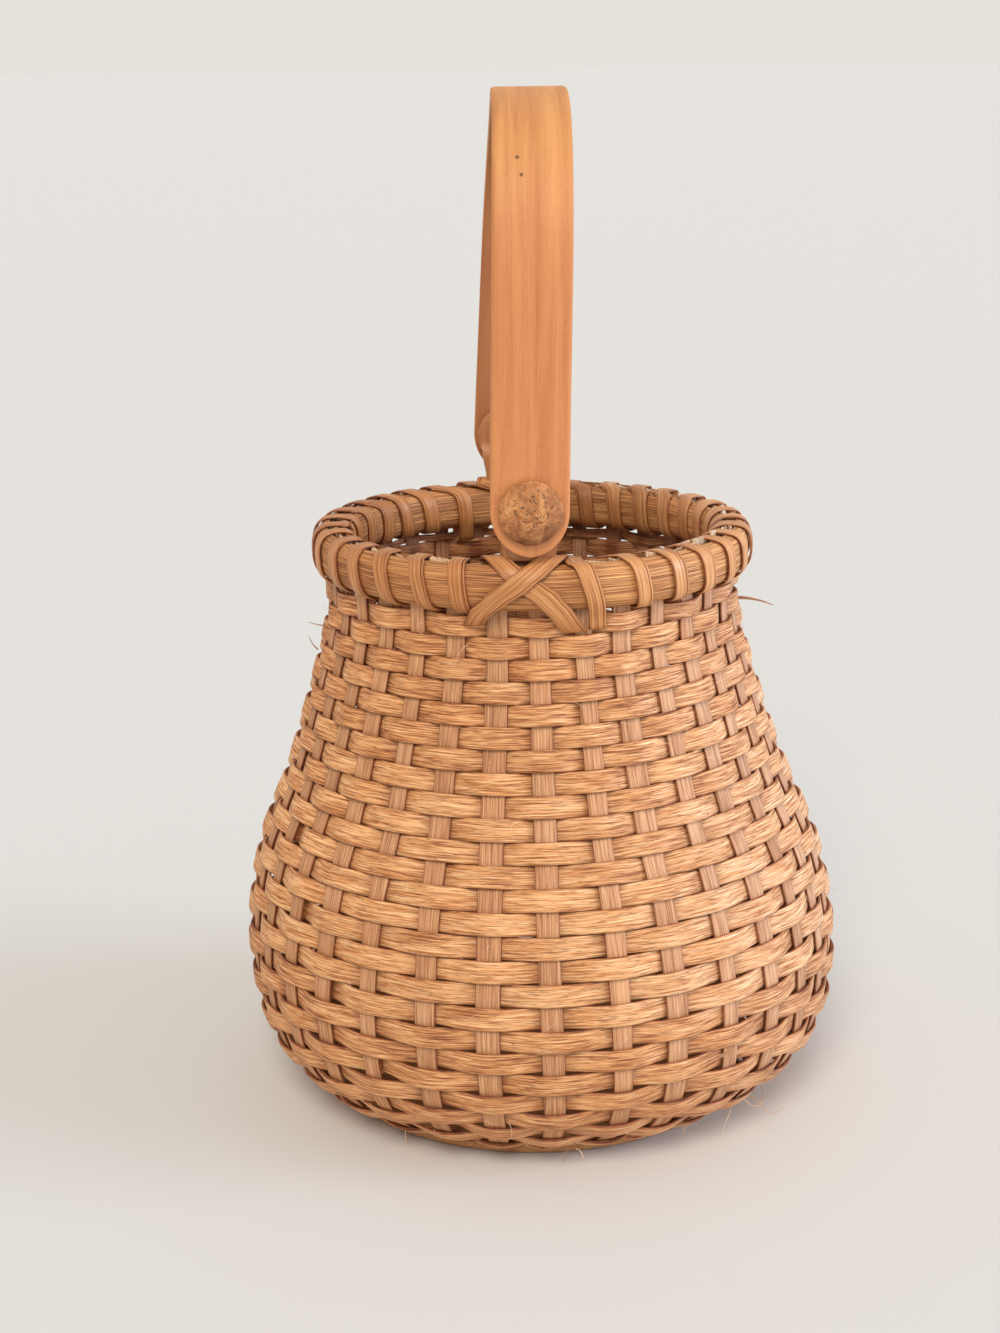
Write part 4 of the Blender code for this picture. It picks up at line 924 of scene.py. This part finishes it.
def make_handle():
    """One bent strip with round ends, leaning to one side, its inner face darker by painted shade."""
    half = HANDLE_WIDTH / 2
    foot = PEG_HEIGHT + HANDLE_RISE - HANDLE_THICKNESS / 2 - ARCH_RISE
    leg = [(LEG_MIDDLE, PEG_HEIGHT - HANDLE_FOOT * math.sin(a), half * math.cos(a))
           for a in np.linspace(1.5, 0, 16)]
    leg += [(LEG_MIDDLE, z, half) for z in np.linspace(PEG_HEIGHT, foot, 24)[1:]]
    arch = []
    for a in np.linspace(0, math.pi, 90)[1:-1]:
        along = math.copysign(abs(math.cos(a)) ** (2 / ARCH_POWER), -math.cos(a))
        arch.append((LEG_MIDDLE * along, foot + ARCH_RISE * math.sin(a) ** (2 / ARCH_POWER), half))
    y, z, widths = np.array([(-y, z, w) for y, z, w in leg] + arch + leg[::-1]).T
    rise = np.clip((z - PEG_HEIGHT) / HANDLE_RISE, 0, 1)
    askew = rise * (HANDLE_LEAN + HANDLE_TWIST * y / LEG_MIDDLE)
    middle = np.stack([askew - HANDLE_OFFSET, y, z], -1)
    across = np.array((1.0, 0, 0))
    out = unit(np.cross(unit(np.gradient(middle, axis=0)), across))
    way = lengths_along(middle)
    sections, uv, shade = [], [], []
    for place, face, wide, distance, shift, high in zip(
            middle, out, widths, way, wander(way, 0.05, 0.00025, 77), rise):
        profile = rounded_section(wide, HANDLE_THICKNESS / 2, min(HANDLE_EDGE, wide * 0.6))
        drift = across * shift * (wide / half)
        sections.append(place + profile[:, :1] * across + profile[:, 1:] * face + drift)
        uv.append(np.stack([profile[:, 0] + profile[:, 1] * 0.6 + 0.02, np.full(len(profile), distance)], -1))
        # Painted shade on the inner face, deeper towards the top
        shade.append((0.5 + 0.3 * high) * (profile[:, 1] > HANDLE_THICKNESS * 0.4))
    points, faces = skin(np.array(sections))
    obj = add_piece("handle_strap", points, faces, "handle_wood", "handle", ["handle"], np.concatenate(uv),
                    0.42, np.concatenate(shade))
    for side in (-1, 1):
        bored(obj, PEG_RADIUS + HANDLE_PLAY, side, LEG_INNER, LEG_INNER + HANDLE_THICKNESS)


def fibre(points, thickness):
    """A tapering hair through points."""
    path = smooth_curve(points, 6)
    along = unit(np.gradient(path, axis=0))
    side = unit(np.cross(along, np.array((0.31, 0.22, 0.92))))
    other = np.cross(along, side)
    radius = thickness / 2 * (1 - 0.75 * np.linspace(0, 1, len(path)))
    angles = np.linspace(0, 2 * math.pi, 5, endpoint=False)
    ring = side[:, None] * np.cos(angles)[None, :, None] + other[:, None] * np.sin(angles)[None, :, None]
    return skin(path[:, None] + ring * radius[:, None, None])


# Azimuth, arc, length, lift, drop, curl, thickness and shade of the loose ends that the photograph shows
FIBRES = (
    (0.81, 0.018, 0.022, 0.9, 0.10, 0.60, 0.0005, 0), (0.83, 0.019, 0.018, 0.8, 0.05, 0.80, 0.0004, 0),
    (0.78, 0.014, 0.013, 0.5, 0.3, 0.3, 0.0004, 0), (0.10, 0.004, 0.010, 0.6, 0.5, 0.25, 0.0004, 0),
    (0.07, 0.004, 0.008, 0.5, 0.5, 0.2, 0.0004, 0), (-0.66, 0.006, 0.009, 0.5, 0.5, 0.1, 0.0004, 0),
    (0.60, 0.008, 0.006, 0.4, 0.6, 0.1, 0.0004, 0), (-1.45, 0.186, 0.006, 0.9, 0.0, 0.1, 0.0006, 0.9),
    (-1.50, 0.176, 0.006, 0.9, -0.1, 0.1, 0.0006, 0.9), (1.34, 0.1950, 0.013, 0.9, 0.03, 0.03, 0.0013, 0.85),
    (1.30, 0.192, 0.007, 0.7, 0.3, 0.3, 0.0004, 0), (-0.35, 0.194, 0.010, 0.6, 0.5, 0.3, 0.0004, 0),
    (0.52, 0.051, 0.007, 0.35, 0.1, 0.25, 0.0013, 0.75),
)
FIBRE_START, HAIR_START, HAIR_COUNT, FIBRE_STEPS, FLOOR_GAP = 0.0024, 0.0019, 230, 7, 0.0004


def make_fibres():
    """Loose fibres: named ones where the photograph shows curls, and many short hairs over the weave."""
    parts, seeds, shades = [], [], []

    def grow(azimuth, arc, length, lift, drop, curl, thickness, shade, start):
        middle, up, out, _ = (v[0] for v in WALL.frame(np.array([arc]), np.array([azimuth])))
        way = draw(-1, 1) * np.cross(up, out) + draw(-0.5, 0.5) * up
        place = middle + out * start
        path = [place]
        heading = unit(way + out * lift)
        bend = draw(-1, 1, 3)
        for _ in range(FIBRE_STEPS):
            place = place + heading * length / FIBRE_STEPS
            heading = unit(heading + np.cross(bend, heading) * curl - np.array((0, 0, drop)))
            place[2] = max(place[2], FLOOR_GAP)
            path.append(place)
        parts.append(fibre(path, thickness))
        count = len(parts[-1][0])
        seeds.append(np.full(count, DICE.random()))
        shades.append(np.full(count, shade))

    for row in FIBRES:
        grow(*row, FIBRE_START)
    for _ in range(HAIR_COUNT):
        grow(draw(0, 2 * math.pi), draw(0.006, WALL.neck - 0.004), draw(0.002, 0.0065),
             draw(0.05, 0.35), 0.05, draw(0.05, 0.5), draw(0.00010, 0.00020), 0.0,
             HAIR_START)
    points, faces = joined(parts)
    uv = np.stack([np.zeros(len(points)), points[:, 2]], -1)
    add_piece("loose_fibres", points, faces, "weaver_reed", "basket", (), uv, np.concatenate(seeds),
              np.concatenate(shades), "pale_reed")


make_base()
make_staves()
make_weavers()
make_hoop("outer_hoop_reed", OUTER_HOOP_FLAT, 1, OUTER_SCARF_AZIMUTH, "outer_hoop")
make_hoop("inner_hoop_reed", INNER_HOOP_FLAT, -1, INNER_SCARF_AZIMUTH, "inner_hoop")
make_lashing("lashing_near", NEAR_EAR, 2, 16, FAR_EAR, "rim_lashing_near")
make_lashing("lashing_far", FAR_EAR, 19, 32, NEAR_EAR + 2 * math.pi, "rim_lashing_far")
make_filler()
make_ear("ear_near", NEAR_EAR, -1, "near_ear")
make_ear("ear_far", FAR_EAR, 1, "far_ear")
make_peg("peg_near", -1, "near_peg")
make_peg("peg_far", 1, "far_peg")
make_handle()
make_fibres()

# Floor, light and camera
FLOOR_COLOUR, FLOOR_ROUGHNESS, FLOOR_REACH, FLOOR_DROP = colour(222, 221, 218), 0.8, 34, 0.0003
SEEN_COLOUR, WORLD_TINT, WORLD_STRENGTH = colour(229, 226, 220), (1.0, 0.98, 0.96, 1), 0.54
floor_mesh = bpy.data.meshes.new("floor")
floor_corners = [(x * FLOOR_REACH, y * FLOOR_REACH, 0) for x, y in ((-1, -1), (1, -1), (1, 1), (-1, 1))]
floor_mesh.from_pydata(floor_corners, [], [(0, 1, 2, 3)])
floor = new_object("floor", floor_mesh)
floor.location.z = -FLOOR_DROP
floor_look = Nodes(bpy.data.materials.new("floor_look")).finish(FLOOR_COLOUR, FLOOR_ROUGHNESS)
floor_mesh.materials.append(floor_look)

world = bpy.data.worlds.new("studio")
bpy.context.scene.world = world
sky = Nodes(world)
lit = sky.tree.nodes["Background"]
sky.put(lit.inputs["Color"], WORLD_TINT)
sky.put(lit.inputs["Strength"], WORLD_STRENGTH)
seen = sky.add("ShaderNodeBackground", Color=SEEN_COLOUR, Strength=1.0)
rays = sky.add("ShaderNodeLightPath").outputs
direct = sky.math("MAXIMUM", rays["Is Camera Ray"], rays["Is Glossy Ray"])
direct = sky.math("MAXIMUM", direct, rays["Is Transmission Ray"])
mixed = sky.add("ShaderNodeMixShader", i0=direct, i1=lit.outputs[0], i2=seen.outputs[0])
sky.put(sky.tree.nodes["World Output"].inputs["Surface"], mixed.outputs[0])


def sun(name, place, power, angle, tint):
    light = bpy.data.lights.new(name, "SUN")
    light.energy, light.angle, light.color = power, math.radians(angle), tint
    obj = new_object(name, light)
    obj.rotation_mode = "QUATERNION"
    obj.rotation_quaternion = (-Vector(place)).to_track_quat("-Z", "Y")


sun("key", (-0.3, -1.4, 1.4), 1.8, 24, (1.0, 0.93, 0.83))
sun("window", (1.6, -0.35, 0.35), 2.5, 34, (0.70, 0.82, 1.0))

YAW, PITCH, ROLL = math.radians(2.36), 0.26797, -0.0138
CAMERA_PLACE, LENS, SENSOR_WIDTH = (-0.0442, -0.7858, 0.3698), 61.31, 36.0
forward = Vector((math.sin(YAW) * math.cos(PITCH), math.cos(YAW) * math.cos(PITCH), -math.sin(PITCH)))
right = Vector((math.cos(YAW), -math.sin(YAW), 0))
upward = right.cross(forward)
rolled_right = right * math.cos(ROLL) + upward * math.sin(ROLL)
rolled_up = upward * math.cos(ROLL) - right * math.sin(ROLL)
camera = new_object("camera", bpy.data.cameras.new("camera"))
camera.data.lens, camera.data.sensor_width = LENS, SENSOR_WIDTH
camera.data.clip_start, camera.data.clip_end = 0.01, 50
camera.matrix_world = Matrix.Translation(CAMERA_PLACE) @ Matrix(
    (rolled_right, rolled_up, -forward)).transposed().to_4x4()
bpy.context.scene.camera = camera
bpy.context.scene.view_settings.view_transform = "Standard"
